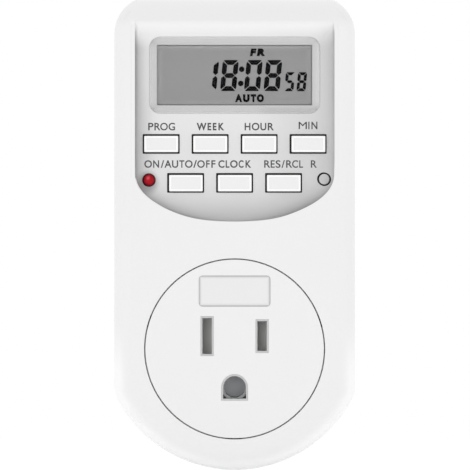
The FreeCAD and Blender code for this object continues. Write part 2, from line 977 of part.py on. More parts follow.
def crystal():
    x, z = crystal_place
    foot = Vector(x, board_rear_y + crystal_radius + fit_gap, z)
    can = Part.makeCylinder(crystal_radius, crystal_length, foot, Vector(0, 0, 1))
    leg = rod(x, z + lead_radius, lead_radius, board_rear_y, foot.y)
    return united(can, leg)


def board_connectors():
    """The two sockets of the ribbon, one on each board."""
    solids = []
    spots = (
        (control_connector_place, board_rear_y, board_rear_y + connector_depth),
        (power_connector_place, power_front_y - connector_depth, power_front_y),
    )
    for (x, z), y0, y1 in spots:
        solids.append(slab(x, z, connector_width, connector_height, view_corner, y0, y1))
    return Part.makeCompound(solids)


def ribbon_cable():
    x, low_z = control_connector_place
    high_z = power_connector_place[1]
    start_y = board_rear_y + connector_depth
    end_y = power_front_y - connector_depth
    path = bent_path([
        Vector(x, start_y, low_z),
        Vector(x, start_y + ribbon_straight, low_z),
        Vector(x, end_y - ribbon_straight, high_z),
        Vector(x, end_y, high_z),
    ])
    half = ribbon_width / 2
    thin = ribbon_thickness / 2
    corners = [
        Vector(x + sx * half, start_y, low_z + sz * thin)
        for sx, sz in ((-1, -1), (1, -1), (1, 1), (-1, 1), (-1, -1))
    ]
    return path.makePipeShell([Part.makePolygon(corners)], True, False)


# Outlet face and shutter

def earth_outline(margin):
    """A square-footed arch, the shape of the earth hole."""
    radius = earth_slot_radius + margin
    centre = (0.0, earth_z)
    right = round_point(centre, radius, 0)
    left = round_point(centre, radius, 180)
    foot_z = earth_slot_low_z - margin
    low_left = Vector(-radius, 0, foot_z)
    low_right = Vector(radius, 0, foot_z)
    return [
        arc(right, round_point(centre, radius, 90), left),
        line(left, low_left),
        line(low_left, low_right),
        line(low_right, right),
    ]


def outlet_face():
    disc = rod(0, outlet_z, face_radius, front_y, face_flange_rear_y)
    flange_radius = face_radius + face_flange_overlap
    flange = rod(0, outlet_z, flange_radius, front_inner_y, face_flange_rear_y)
    face = united(disc, flange)
    rear_y = face_flange_rear_y + wall
    for x, height in ((neutral_x, neutral_slot_height), (line_x, line_slot_height)):
        face = face.cut(block(
            x - slot_width / 2, x + slot_width / 2, front_y - wall, rear_y, -height / 2, height / 2
        ))
    face = face.cut(thick(earth_outline(0), front_y - wall, rear_y))
    rims = [
        edge
        for edge in edges_at_y(face, front_y)
        if edge.BoundBox.DiagonalLength < 2 * face_radius
    ]
    face = face.makeChamfer(slot_chamfer, rims)
    for x, z in block_screws:
        face = face.cut(rod(x, z, block_post_radius + face_gap, front_inner_y, rear_y))
    seat = slab(
        0,
        plate_z,
        plate_width + 2 * plate_gap,
        plate_height + 2 * plate_gap,
        plate_corner + plate_gap,
        front_y - wall,
        front_y + plate_thickness,
    )
    return face.cut(seat)


def outlet_plate():
    plate = slab(
        0, plate_z, plate_width, plate_height, plate_corner, front_y, front_y + plate_thickness
    )
    return chamfered_at(plate, front_y, plate_gap)


def shutter_ends():
    """The left and right ends of the shutter at rest."""
    opening = slot_width / 2 + shutter_window_margin
    left = neutral_x - shutter_travel - opening - shutter_land
    right = line_x + opening + shutter_land
    return left, right


def shutter():
    """A sliding plate. An entering blade presses on a ramp beside each window and moves it."""
    left, right = shutter_ends()
    half = shutter_height / 2
    plate = block(left, right, shutter_front_y, shutter_rear_y, -half, half)
    opening = slot_width / 2 + shutter_window_margin
    tall = neutral_slot_height / 2 + shutter_window_margin
    ramp_y = shutter_rear_y - shutter_floor
    for slot_x in (neutral_x, line_x):
        window_x = slot_x - shutter_travel
        plate = plate.cut(block(
            window_x - opening, window_x + opening, front_y, 0, -tall, tall
        ))
        corners = [
            Vector(window_x, shutter_front_y, -tall),
            Vector(slot_x + opening, shutter_front_y, -tall),
            Vector(window_x + opening, ramp_y, -tall),
            Vector(window_x, ramp_y, -tall),
        ]
        ramp = Part.Face(Part.makePolygon(corners + corners[:1]))
        plate = plate.cut(ramp.extrude(Vector(0, 0, 2 * tall)))
    middle_y = (shutter_front_y + shutter_rear_y) / 2
    return united(plate, bar(right, right + spring_peg_length, middle_y, 0, spring_peg_radius))


def shutter_spring():
    """A coil spring between the shutter and the end of its guide, made of quarter turns."""
    left = shutter_ends()[1]
    right = block_width / 2 - shutter_rail
    middle_y = (shutter_front_y + shutter_rear_y) / 2
    room = right - left - spring_wire
    steps = 4 * spring_turns

    def spot(step):
        turn = step * math.pi / 2
        x = left + spring_wire / 2 + room * step / steps
        return Vector(x, middle_y + spring_radius * math.cos(turn), spring_radius * math.sin(turn))

    coil = Part.Wire([arc(spot(i), spot(i + 0.5), spot(i + 1)) for i in range(steps)])
    rise = room / (2 * math.pi * spring_turns)
    profile = Part.makeCircle(spring_wire / 2, spot(0), Vector(rise, 0, spring_radius))
    return coil.makePipeShell([Part.Wire(profile)], True, False)


# Contacts and their block

def tail_x(side):
    """The centre of a contact's outer leaf and tail."""
    return side * (line_x + contact_spread / 2)


def blade_contact(side):
    """Two leaves of folded brass, tighter than the blade that they grip."""
    centre = side * line_x
    mouth_y = pocket_front_y + contact_front_gap
    throat_y = mouth_y + contact_mouth_depth
    neck_y = throat_y + contact_neck_depth
    base_y = block_rear_y - contact_metal / 2
    throat = (contact_throat + contact_metal) / 2
    leaf = [
        (contact_mouth / 2, mouth_y),
        (throat, throat_y),
        (contact_spread / 2, neck_y),
        (contact_spread / 2, base_y),
    ]
    points = [(centre - dx, y) for dx, y in leaf] + [(centre + dx, y) for dx, y in leaf[::-1]]
    half = contact_height / 2
    fork = bent_sheet(points, contact_metal, -half, half)
    x = tail_x(side)
    thin = contact_metal / 2
    tail_end_y = cover_rear_y + 2 * wire_radius + 3 * fit_gap
    tail = block(x - thin, x + thin, base_y, tail_end_y, -tail_height / 2, tail_height / 2)
    return united(fork, tail)


def earth_foot_y():
    return blade_front_y - contact_metal


def earth_contact():
    """A slit sleeve for the earth pin, closed at its rear end. Its tail presses on the
    timer's own earth pin."""
    outer = earth_sleeve_radius + contact_metal
    start_y = pocket_front_y + contact_front_gap
    end_y = start_y + earth_sleeve_length
    sleeve = rod(0, earth_z, outer, start_y, end_y)
    sleeve = sleeve.cut(rod(0, earth_z, earth_sleeve_radius, start_y - wall, end_y + wall))
    slit = earth_sleeve_slit / 2
    sleeve = sleeve.cut(block(-slit, slit, start_y - wall, end_y + wall, earth_z, earth_z + 2 * outer))
    base = rod(0, earth_z, outer, end_y, end_y + contact_metal)
    half = earth_tail_width / 2
    low_z = earth_z - outer
    tail = block(
        -half, half, end_y - 2 * contact_metal, blade_front_y, low_z, low_z + contact_metal
    )
    foot = block(
        -half, half, earth_foot_y(), blade_front_y, low_z, earth_z + earth_stub_radius
    )
    return united(sleeve, base, tail, foot)


def block_outline(margin, y0, y1):
    middle_z = (block_top_z + block_low_z) / 2
    height = block_top_z - block_low_z
    return slab(
        0, middle_z, block_width - 2 * margin, height - 2 * margin, block_corner - margin, y0, y1
    )


def stakes():
    """The places of the four pegs that hold the cover."""
    x = block_width / 2 - stake_inset
    return [
        (sx * x, z)
        for sx in (-1, 1)
        for z in (block_low_z + stake_inset, block_top_z - stake_inset)
    ]


def contact_block():
    body = block_outline(0, block_front_y, block_rear_y)
    ears = []
    for x, z in block_screws:
        ears.append(rod(x, z, ear_radius, block_front_y, ear_rear_y))
    side = block_screw_x
    ears.append(block(
        -side, side, block_front_y, ear_rear_y, block_screw_z - ear_radius, block_screw_z + ear_radius
    ))
    ears.append(block(
        -ear_radius, ear_radius, block_front_y, ear_rear_y, block_screw_low_z, block_low_z + block_corner
    ))
    inner = shutter_height / 2 + shutter_gap
    outer = inner + shutter_rail
    end = block_width / 2
    left = shutter_ends()[0] - shutter_gap
    right = end - shutter_rail
    guide = block(-end, end, face_flange_rear_y, block_front_y, -outer, outer)
    guide = guide.cut(block(left, right, face_flange_rear_y, block_front_y, -inner, inner))
    middle_y = (shutter_front_y + shutter_rear_y) / 2
    peg = bar(right - spring_peg_length, right, middle_y, 0, spring_peg_radius)
    pegs = [rod(x, z, stake_radius, block_rear_y, cover_rear_y + stake_head) for x, z in stakes()]
    body = united(body, guide, peg, *ears, *pegs)
    for x, slot_height in ((neutral_x, neutral_slot_height), (line_x, line_slot_height)):
        half = pocket_width / 2
        tall = pocket_height / 2
        body = body.cut(block(x - half, x + half, pocket_front_y, block_rear_y, -tall, tall))
        half = slot_width / 2 + block_slot_margin
        tall = slot_height / 2 + block_slot_margin
        body = body.cut(block(x - half, x + half, block_front_y, pocket_front_y, -tall, tall))
    half = earth_pocket / 2
    body = body.cut(block(
        -half, half, pocket_front_y, block_rear_y, earth_z - half, earth_z + half
    ))
    body = body.cut(thick(earth_outline(0), face_flange_rear_y, pocket_front_y))
    for hole in screw_holes(block_screws, block_front_y - wall, ear_rear_y + wall):
        body = body.cut(hole)
    return body


def block_cover():
    cover = block_outline(0, block_rear_y, cover_rear_y)
    thin = contact_metal / 2 + fit_gap
    tall = tail_height / 2 + fit_gap
    holes = [rod(x, z, stake_radius + fit_gap, block_rear_y, cover_rear_y) for x, z in stakes()]
    for side in (-1, 1):
        x = tail_x(side)
        holes.append(block(x - thin, x + thin, block_rear_y, cover_rear_y, -tall, tall))
    half = earth_tail_width / 2 + fit_gap
    low_z = earth_z - earth_sleeve_radius - contact_metal
    holes.append(block(
        -half, half, block_rear_y, cover_rear_y, low_z - fit_gap, low_z + contact_metal + fit_gap
    ))
    for hole in holes:
        cover = cover.cut(hole)
    return cover


# Plug

def blade(side):
    """A flat blade with a shoulder that sits against the inside of the rear wall."""
    x = side * line_x
    thin = blade_thickness / 2
    half = blade_width / 2
    near_tip = blade_length - blade_tip_taper
    tip = half - blade_tip_taper / 2
    corners = [
        (blade_front_y, -half),
        (near_tip, -half),
        (blade_length, -tip),
        (blade_length, tip),
        (near_tip, half),
        (blade_front_y, half),
    ]
    spots = [Vector(x - thin, y, z) for y, z in corners]
    flat = Part.Face(Part.makePolygon(spots + spots[:1])).extrude(Vector(blade_thickness, 0, 0))
    flat = chamfered_at(flat, blade_length, blade_tip_chamfer)
    tall = blade_shoulder_height / 2
    shoulder = block(x - thin, x + thin, shoulder_front_y, rear_inner_y, -tall, tall)
    hole = bar(x - blade_thickness, x + blade_thickness, blade_hole_distance, 0, blade_hole_radius)
    return united(flat, shoulder).cut(hole)


def earth_pin():
    pin = rod(0, earth_z, earth_pin_radius, 0, earth_pin_length)
    pin = rounded_at(pin, earth_pin_length, earth_pin_tip_round)
    shank = rod(0, earth_z, earth_shank_radius, rear_inner_y, 0)
    head = rod(0, earth_z, earth_head_radius, shoulder_front_y, rear_inner_y)
    stub = rod(0, earth_z, earth_stub_radius, blade_front_y, shoulder_front_y)
    return united(pin, shank, head, stub)


def blade_retainer():
    """The plate that holds both blades and the pin against the rear wall."""
    middle_z = (retainer_top_z + retainer_low_z) / 2
    height = retainer_top_z - retainer_low_z
    plate = slab(
        0, middle_z, retainer_width, height, mould_corner, retainer_front_y, retainer_rear_y
    )
    holes = screw_holes(retainer_posts, retainer_front_y, retainer_rear_y)
    thin = blade_thickness / 2 + fit_gap
    half = blade_width / 2 + fit_gap
    for x in (line_x, neutral_x):
        holes.append(block(x - thin, x + thin, retainer_front_y, retainer_rear_y, -half, half))
    holes.append(rod(0, earth_z, earth_stub_radius + fit_gap, retainer_front_y, retainer_rear_y))
    for hole in holes:
        plate = plate.cut(hole)
    return plate


def side_wires(side):
    """The wire from a blade to the power board, and the one from the board to the contact."""
    run_y = cover_rear_y + wire_radius + 2 * fit_gap
    blade_y = retainer_front_y - blade_tail / 2
    blade_x = side * line_x
    board_x = side * blade_wire_x
    from_blade = wire([
        Vector(blade_x, blade_y, blade_width / 2),
        Vector(blade_x, blade_y, blade_wire_turn_z),
        Vector(board_x, run_y, (blade_wire_turn_z + wire_board_z) / 2),
        Vector(board_x, run_y, wire_board_z),
        Vector(board_x, power_front_y, wire_board_z),
    ], wire_radius)
    edge_x = tail_x(side) + side * contact_metal / 2
    far_x = side * contact_wire_x
    to_contact = wire([
        Vector(edge_x, run_y, 0),
        Vector(far_x, run_y, 0),
        Vector(far_x, run_y, wire_board_z),
        Vector(far_x, power_front_y, wire_board_z),
    ], wire_radius)
    return Part.makeCompound([from_blade, to_contact])


# Power board

def power_board():
    middle_z = (power_board_low_z + power_board_high_z) / 2
    height = power_board_high_z - power_board_low_z
    board = slab(0, middle_z, power_board_width, height, board_corner, power_front_y, power_rear_y)
    holes = screw_holes(power_posts, power_front_y, power_rear_y)
    holes += [
        rod(x, z, case_post_radius + post_clearance, power_front_y, power_rear_y)
        for x, z in case_screws
    ]
    for hole in holes:
        board = board.cut(hole)
    return board


def leads(x, z, dx, dz, y):
    """Two legs from a part at y to the power board, either side of its centre."""
    return [
        rod(x - dx, z - dz, lead_radius, y, power_front_y),
        rod(x + dx, z + dz, lead_radius, y, power_front_y),
    ]


def boxed_part(place, width, height, length):
    """A moulded box that stands on the power board on short legs."""
    x, z = place
    base_y = power_front_y - part_lift
    top_y = base_y - height
    body = rounded_at(slab(x, z, width, length, mould_corner, top_y, base_y), top_y, mould_corner / 2)
    return united(body, *leads(x, z, width / 3, length / 3, base_y - part_lift))


def axial_part(place, radius, length):
    """A round body along X, with a wire from each end bent down to the board."""
    x, z = place
    centre_y = power_front_y - part_lift - radius
    half = length / 2
    body = bar(x - half, x + half, centre_y, z, radius)
    legs = []
    for side in (-1, 1):
        foot_x = x + side * (half + axial_leg_reach)
        legs.append(wire([
            Vector(foot_x, power_front_y, z),
            Vector(foot_x, centre_y, z),
            Vector(x + side * half / 2, centre_y, z),
        ], lead_radius))
    return united(body, *legs)


def smoothing_capacitor():
    """An aluminium can in a sleeve, with a rolled groove near its foot."""
    x, z = smoothing_place
    base_y = power_front_y - part_lift
    top_y = base_y - smoothing_height
    can = rounded_at(rod(x, z, smoothing_radius, top_y, base_y), top_y, mould_corner / 2)
    groove_y = base_y - 2 * mould_corner
    groove = Part.makeTorus(smoothing_radius, mould_corner / 2, Vector(x, groove_y, z), Vector(0, 1, 0))
    return united(can.cut(groove), *leads(x, z, smoothing_radius / 2, 0, base_y - part_lift))


def varistor():
    x, z = varistor_place
    half = varistor_thickness / 2
    centre_y = power_front_y - part_lift - varistor_radius
    disc = bar(x - half, x + half, centre_y, z, varistor_radius)
    disc = disc.makeFillet(half / 2, disc.Edges)
    return united(disc, *leads(x, z, 0, varistor_radius / 2, centre_y))


def transistor():
    x, z = transistor_place
    base_y = power_front_y - 2 * part_lift
    body = rod(x, z, transistor_radius, base_y - transistor_height, base_y)
    flat_x = x + transistor_flat
    far_x = x + 2 * transistor_radius
    low_z = z - transistor_radius
    high_z = z + transistor_radius
    body = body.cut(block(flat_x, far_x, base_y - transistor_height, base_y, low_z, high_z))
    return united(body, *leads(x, z, 0, transistor_radius / 2, base_y - part_lift))


def diodes():
    x, z = diode_place
    return Part.makeCompound([
        axial_part((x, z + i * diode_pitch), diode_radius, diode_length) for i in range(diode_count)
    ])


# Fasteners

def control_screws():
    return Part.makeCompound([small_screw(x, z, board_rear_y, -1) for x, z in control_posts])


parts = {
    "front_shell": front_shell(),
    "rear_shell": rear_shell(),
    "rear_label": rear_label(),
    "outlet_face": outlet_face(),
    "outlet_plate": outlet_plate(),
    "display_window": display_window(),
    "window_mask": window_mask(),
    "display_cell": display_cell(),
    "display_reflector": display_reflector(),
    "contact_strips": contact_strips(),
    "display_frame": display_frame(),
    "reset_button": reset_button(),
    "keypad": keypad(),
    "indicator_lamp": indicator_lamp(),
    "control_board": control_board(),
    "controller_chip": controller_chip(),
    "backup_cell": backup_cell(),
    "cell_tabs": cell_tabs(),
    "crystal": crystal(),
    "board_connectors": board_connectors(),
    "ribbon_cable": ribbon_cable(),
    "shutter": shutter(),
    "shutter_spring": shutter_spring(),
    "contact_block": contact_block(),
    "block_cover": block_cover(),
    "line_contact": blade_contact(1),
    "neutral_contact": blade_contact(-1),
    "earth_contact": earth_contact(),
    "line_blade": blade(1),
    "neutral_blade": blade(-1),
    "earth_pin": earth_pin(),
    "blade_retainer": blade_retainer(),
    "line_wires": side_wires(1),
    "neutral_wires": side_wires(-1),
    "power_board": power_board(),
    "relay": boxed_part(relay_place, relay_width, relay_height, relay_length),
    "mains_capacitor": boxed_part(
        mains_capacitor_place, mains_capacitor_width, mains_capacitor_height, mains_capacitor_thickness
    ),
    "smoothing_capacitor": smoothing_capacitor(),
    "varistor": varistor(),
    "resistor": axial_part(resistor_place, resistor_radius, resistor_length),
    "fuse": axial_part(fuse_place, fuse_radius, fuse_length),
    "diodes": diodes(),
    "transistor": transistor(),
    "case_screws": Part.makeCompound([case_screw(x, z) for x, z in case_screws]),
    "control_screws": control_screws(),
    "power_screws": Part.makeCompound([small_screw(x, z, power_front_y, 1) for x, z in power_posts]),
    "block_screws": Part.makeCompound([small_screw(x, z, ear_rear_y, -1) for x, z in block_screws]),
    "retainer_screws": Part.makeCompound(
        [small_screw(x, z, retainer_front_y, 1) for x, z in retainer_posts]
    ),
}
parts.update({name: key(x, z) for name, (x, z) in keys.items()})

os.makedirs("parts", exist_ok=True)
for name, shape in parts.items():
    shape.exportStep(f"parts/{name}.step")
    print(name, len(shape.Solids), round(shape.Volume, 2), shape.isValid())
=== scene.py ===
import math

import bmesh
import bpy
import numpy as np
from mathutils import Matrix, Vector


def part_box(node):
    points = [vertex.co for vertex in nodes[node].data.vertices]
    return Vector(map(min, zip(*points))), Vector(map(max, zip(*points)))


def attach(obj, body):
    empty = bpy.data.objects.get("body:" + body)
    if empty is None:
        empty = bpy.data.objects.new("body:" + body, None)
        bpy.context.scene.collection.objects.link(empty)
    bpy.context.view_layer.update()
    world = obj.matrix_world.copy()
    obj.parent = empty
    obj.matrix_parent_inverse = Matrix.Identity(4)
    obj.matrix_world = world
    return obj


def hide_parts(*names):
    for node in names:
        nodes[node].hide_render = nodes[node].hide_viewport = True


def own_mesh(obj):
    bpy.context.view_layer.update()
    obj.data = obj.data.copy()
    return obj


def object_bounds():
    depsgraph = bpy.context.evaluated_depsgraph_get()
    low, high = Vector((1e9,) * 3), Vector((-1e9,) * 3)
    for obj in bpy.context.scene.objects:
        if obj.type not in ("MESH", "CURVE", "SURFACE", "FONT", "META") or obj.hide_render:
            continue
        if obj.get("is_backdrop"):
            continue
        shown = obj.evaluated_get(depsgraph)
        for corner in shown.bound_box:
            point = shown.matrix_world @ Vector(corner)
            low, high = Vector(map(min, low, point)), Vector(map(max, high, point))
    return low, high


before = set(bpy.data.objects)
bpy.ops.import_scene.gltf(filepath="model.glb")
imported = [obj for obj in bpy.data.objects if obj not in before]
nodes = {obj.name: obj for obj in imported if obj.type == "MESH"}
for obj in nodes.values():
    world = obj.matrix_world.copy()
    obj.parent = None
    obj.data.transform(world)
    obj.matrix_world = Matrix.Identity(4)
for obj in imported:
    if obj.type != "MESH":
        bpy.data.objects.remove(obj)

# A plug-in timer. Its sizes are written in millimetres, and mm turns them into metres. X
# points right and Z up as the timer hangs, and Y points into the wall, from the rear face.

cad_low, cad_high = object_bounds()
mm = 0.001


# View
# The timer hangs just over a pale floor in soft studio light, as it would hang on a wall.
# It is seen straight from the front through a long lens, so that its sides don't show.

class Tone:
    """A number that a shader's nodes work out. Sums on it add Math nodes."""

    def __init__(self, owner, socket):
        self.owner = owner
        self.socket = socket

    def __add__(self, other):
        return self.owner.sum("ADD", self, other)

    def __sub__(self, other):
        return self.owner.sum("SUBTRACT", self, other)

    def __rsub__(self, other):
        return self.owner.sum("SUBTRACT", other, self)

    def __mul__(self, other):
        return self.owner.sum("MULTIPLY", self, other)

    def __truediv__(self, other):
        return self.owner.sum("DIVIDE", self, other)

    def __pow__(self, other):
        return self.owner.sum("POWER", self, other)

    def __abs__(self):
        return self.owner.sum("ABSOLUTE", self)

    __radd__ = __add__
    __rmul__ = __mul__


class Nodes:
    """A node tree that grows by expressions."""

    def __init__(self, tree):
        self.tree = tree

    def feed(self, node, inputs):
        """Sets sockets, each by its name or number, to a value or a link."""
        for socket, value in inputs.items():
            if isinstance(value, Tone):
                self.tree.links.new(value.socket, node.inputs[socket])
            else:
                node.inputs[socket].default_value = value

    def node(self, kind, settings, inputs, out=0):
        """Adds a node, with its settings first and its sockets next, and gives one output."""
        made = self.tree.nodes.new(kind)
        for setting, value in settings.items():
            setattr(made, setting, value)
        self.feed(made, inputs)
        return Tone(self, made.outputs[out])

    def sum(self, operation, *values):
        """A Math node on the values."""
        return self.node("ShaderNodeMath", {"operation": operation}, dict(enumerate(values)))

    def step(self, value, start, end, low=0.0, high=1.0):
        """Runs smoothly from low to high as the value goes from start to end."""
        return self.node(
            "ShaderNodeMapRange",
            {"interpolation_type": "SMOOTHSTEP"},
            {0: value, 1: start, 2: end, 3: low, 4: high},
        )

    def mix(self, share, first, second):
        """A colour between two others."""
        return self.node(
            "ShaderNodeMix", {"data_type": "RGBA"}, {0: share, 6: first, 7: second}, out=2
        )


class Finish(Nodes):
    """A material with one Principled shader, on Object coordinates."""

    def __init__(self, name, colour, roughness, **more):
        self.material = bpy.data.materials.new(name)
        self.material.use_nodes = True
        super().__init__(self.material.node_tree)
        self.shader = self.tree.nodes["Principled BSDF"]
        self.place = self.node("ShaderNodeTexCoord", {}, {}, out="Object")
        self.feed(self.shader, {"Base Color": colour, "Roughness": roughness})
        self.feed(self.shader, {words.replace("_", " "): value for words, value in more.items()})

    def axes(self):
        """The place along X, Y and Z, in millimetres."""
        apart = self.tree.nodes.new("ShaderNodeSeparateXYZ")
        self.feed(apart, {0: self.place})
        return [Tone(self, apart.outputs[i]) * 1000.0 for i in range(3)]

    def stretched(self, x, y, z):
        """Object coordinates with each axis scaled."""
        return self.node(
            "ShaderNodeVectorMath", {"operation": "MULTIPLY"}, {0: self.place, 1: (x, y, z)}
        )

    def noise(self, size, where=None):
        """Noise between 0 and 1 whose lumps are about that size."""
        inputs = {"Vector": where or self.place, "Scale": 1.0 / size, "Detail": 3.0}
        return self.node("ShaderNodeTexNoise", {}, inputs)

    def relief(self, height, depth):
        """Raises the surface by the depth where the height is 1."""
        inputs = {"Strength": 1.0, "Distance": depth, "Height": height}
        self.feed(self.shader, {"Normal": self.node("ShaderNodeBump", {}, inputs, out="Normal")})


def paint(red, green, blue):
    """The linear colour of a screen colour whose parts run from 0 to 255."""
    share = np.array([red, green, blue]) / 255
    linear = np.where(share <= 0.04045, share / 12.92, ((share + 0.055) / 1.055) ** 2.4)
    return (*linear.tolist(), 1.0)


def shade(colour, factor):
    """A linear colour made lighter or darker."""
    return (*[min(part * factor, 1.0) for part in colour[:3]], 1.0)


def mesh_piece(name, points, faces):
    """A mesh object whose place is in its mesh."""
    mesh = bpy.data.meshes.new(name)
    mesh.from_pydata(np.asarray(points, float).reshape(-1, 3).tolist(), [], faces)
    piece = bpy.data.objects.new(name, mesh)
    bpy.context.scene.collection.objects.link(piece)
    return piece


view_centre = Vector((0.09 * mm, cad_low.y, 23.35 * mm))
view_width = 108.545 * mm
view_distance = 2.0

camera = bpy.data.objects.new("camera", bpy.data.cameras.new("camera"))
camera.data.sensor_width = 36.0
camera.data.lens = camera.data.sensor_width * view_distance / view_width
camera.data.clip_start = 0.01
camera.location = view_centre - Vector((0, view_distance, 0))
camera.rotation_euler = (math.pi / 2, 0, 0)
bpy.context.scene.collection.objects.link(camera)
bpy.context.scene.camera = camera
bpy.context.scene.view_settings.view_transform = "Standard"

floor_half = 0.6
floor_gap = 8 * mm
floor_z = cad_low.z - floor_gap
floor = mesh_piece(
    "floor",
    [(x, y, floor_z) for x, y in (
        (-floor_half, -floor_half),
        (floor_half, -floor_half),
        (floor_half, floor_half),
        (-floor_half, floor_half),
    )],
    [(0, 1, 2, 3)],
)
floor_finish = Finish("floor_paint", paint(255, 255, 255), 0.9, Specular_IOR_Level=0.0)
floor_dust = floor_finish.noise(80 * mm)
floor_finish.feed(floor_finish.shader, {
    "Base Color": floor_finish.mix(floor_dust, paint(253, 253, 253), paint(255, 255, 255)),
})
floor.data.materials.append(floor_finish.material)
floor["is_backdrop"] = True

# Each lamp is a soft square panel: its place, the side of the square and its power.
lamps = {
    "lamp_front_left": ((-1.2, -1.7, 0.5), 1.2, 1.6),
    "lamp_front_right": ((1.4, -1.5, 0.1), 1.2, 0.8),
    "lamp_behind": ((0.3, 1.7, 1.1), 1.2, 2.0),
    "lamp_above": ((0.0, 0.3, 2.2), 1.4, 4.0),
}
for name, (spot, side, power) in lamps.items():
    lamp = bpy.data.objects.new(name, bpy.data.lights.new(name, "AREA"))
    lamp.data.size = side
    lamp.data.energy = power
    lamp.location = spot
    lamp.rotation_mode = "QUATERNION"
    lamp.rotation_quaternion = (view_centre - Vector(spot)).to_track_quat("-Z", "Y")
    bpy.context.scene.collection.objects.link(lamp)

sky_strength = 0.93
world = bpy.data.worlds.new("studio")
world.use_nodes = True
bpy.context.scene.world = world
sky = Nodes(world.node_tree)
for node in list(world.node_tree.nodes):
    world.node_tree.nodes.remove(node)
ray = world.node_tree.nodes.new("ShaderNodeLightPath")
seen = (
    Tone(sky, ray.outputs["Is Camera Ray"])
    + Tone(sky, ray.outputs["Is Glossy Ray"])
    + Tone(sky, ray.outputs["Is Transmission Ray"])
)
lit = sky.node("ShaderNodeBackground", {}, {"Color": (1, 1, 1, 1), "Strength": sky_strength})
white = sky.node("ShaderNodeBackground", {}, {"Color": (1, 1, 1, 1), "Strength": 1.0})
both = sky.node("ShaderNodeMixShader", {}, {0: sky.sum("MINIMUM", seen, 1.0), 1: lit, 2: white})
output = world.node_tree.nodes.new("ShaderNodeOutputWorld")
sky.feed(output, {"Surface": both})


# Rear shell
# The back half of the case is moulded white plastic with a fine matt grain, and four
# screws from behind hold it to the front half.

case_white = paint(240, 240, 240)
plastic_grain = 0.35 * mm
plastic_relief = 0.003 * mm
plastic_mottle = 14 * mm


def moulded(name, colour, roughness, grain=plastic_grain):
    """Moulded plastic: fine grain in its relief and gloss, and a faint mottle in its colour."""
    finish = Finish(name, colour, roughness)
    fine = finish.noise(grain)
    broad = finish.noise(plastic_mottle)
    finish.feed(finish.shader, {
        "Base Color": finish.mix(broad, shade(colour, 0.985), shade(colour, 1.01)),
        "Roughness": roughness + 0.08 * (fine - 0.5),
    })
    finish.relief(fine, plastic_relief)
    return finish


def smooth_rounds():
    """A node group that joins a CAD mesh's loose triangles and shades its rounds smooth."""
    group = bpy.data.node_groups.new("smooth_rounds", "GeometryNodeTree")
    for side in ("INPUT", "OUTPUT"):
        group.interface.new_socket("Geometry", in_out=side, socket_type="NodeSocketGeometry")
    steps = Nodes(group)
    start = Tone(steps, group.nodes.new("NodeGroupInput").outputs[0])
    joined = steps.node(
        "GeometryNodeMergeByDistance", {}, {"Geometry": start, "Distance": 0.002 * mm}
    )
    smooth = steps.node("GeometryNodeSetShadeSmooth", {"domain": "FACE"}, {
        "Geometry": joined, "Shade Smooth": True,
    })
    angle = steps.node("GeometryNodeInputMeshEdgeAngle", {}, {})
    creased = steps.node(
        "FunctionNodeCompare",
        {"data_type": "FLOAT", "operation": "GREATER_THAN"},
        {0: angle, 1: math.radians(28)},
    )
    sharp = steps.node("GeometryNodeSetShadeSmooth", {"domain": "EDGE"}, {
        "Geometry": smooth, "Selection": creased, "Shade Smooth": False,
    })
    steps.feed(group.nodes.new("NodeGroupOutput"), {0: sharp})
    return group


rounds = smooth_rounds()


def dress(finish, *names):
    """Gives CAD nodes a finish and smooth shading."""
    for name in names:
        piece = nodes[name]
        for slot in piece.material_slots:
            slot.material = finish.material
        join = piece.modifiers.new("smooth_rounds", "NODES")
        join.node_group = rounds
        weigh = piece.modifiers.new("weighted_normals", "WEIGHTED_NORMAL")
        weigh.keep_sharp = True


dress(moulded("case_rear_plastic", case_white, 0.42), "rear_shell")


# Rear label
# A blank label of brushed aluminium foil, glued into a shallow pocket of the rear face.
# Its lines run across.

def arc(centre, radius, start, end, steps):
    """Points of an arc: its centre plus the radius times the cosine and sine of each
    angle, in degrees."""
    turn = np.radians(np.linspace(start, end, steps + 1))
    return np.column_stack([centre[0] + radius * np.cos(turn), centre[1] + radius * np.sin(turn)])


def rounded_ring(x, z, half_width, half_height, corner, y, steps=6):
    """A rectangle with quarter-circle corners, facing along Y, as one ring of points."""
    w = half_width - corner
    h = half_height - corner
    ring = np.vstack([
        arc((x + sx * w, z + sz * h), corner, turn, turn + 90, steps)
        for sx, sz, turn in ((1, 1, 0), (-1, 1, 90), (-1, -1, 180), (1, -1, 270))
    ])
    return np.column_stack([ring[:, 0], np.full(len(ring), y), ring[:, 1]])


def round_ring(x, z, radius, y, steps=64):
    """A circle round an axis along Y, as one ring of points."""
    turn = np.arange(steps) * 2 * np.pi / steps
    return np.column_stack([
        x + radius * np.cos(turn), np.full(steps, y), z + radius * np.sin(turn)
    ])


def lofted(name, rings, crease=30):
    """A closed skin through rings of points, in order from the front to the rear. The
    first and last ring are closed by a face each."""
    points = np.concatenate(rings) * mm
    count = len(rings[0])
    around = np.arange(count)
    ahead = (around + 1) % count
    low = np.arange(len(rings) - 1)[:, None] * count
    high = low + count
    sides = np.stack([low + around, high + around, high + ahead, low + ahead], axis=-1)
    faces = sides.reshape(-1, 4).tolist()
    faces.append(around.tolist())
    faces.append((around[::-1] + count * (len(rings) - 1)).tolist())
    piece = mesh_piece(name, points, faces)
    piece.data.shade_smooth()
    piece.data.set_sharp_from_angle(angle=math.radians(crease))
    return piece


def node_box(name):
    """The lowest and highest corner of a CAD node, in millimetres."""
    low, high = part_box(name)
    return np.array(low) / mm, np.array(high) / mm


def settle(piece, finish, body, *stands_for, slot=None):
    """Gives a piece its finish, its body, and the CAD nodes that it stands for."""
    piece.data.materials.append(finish.material)
    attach(piece, body)
    if stands_for:
        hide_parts(*stands_for)


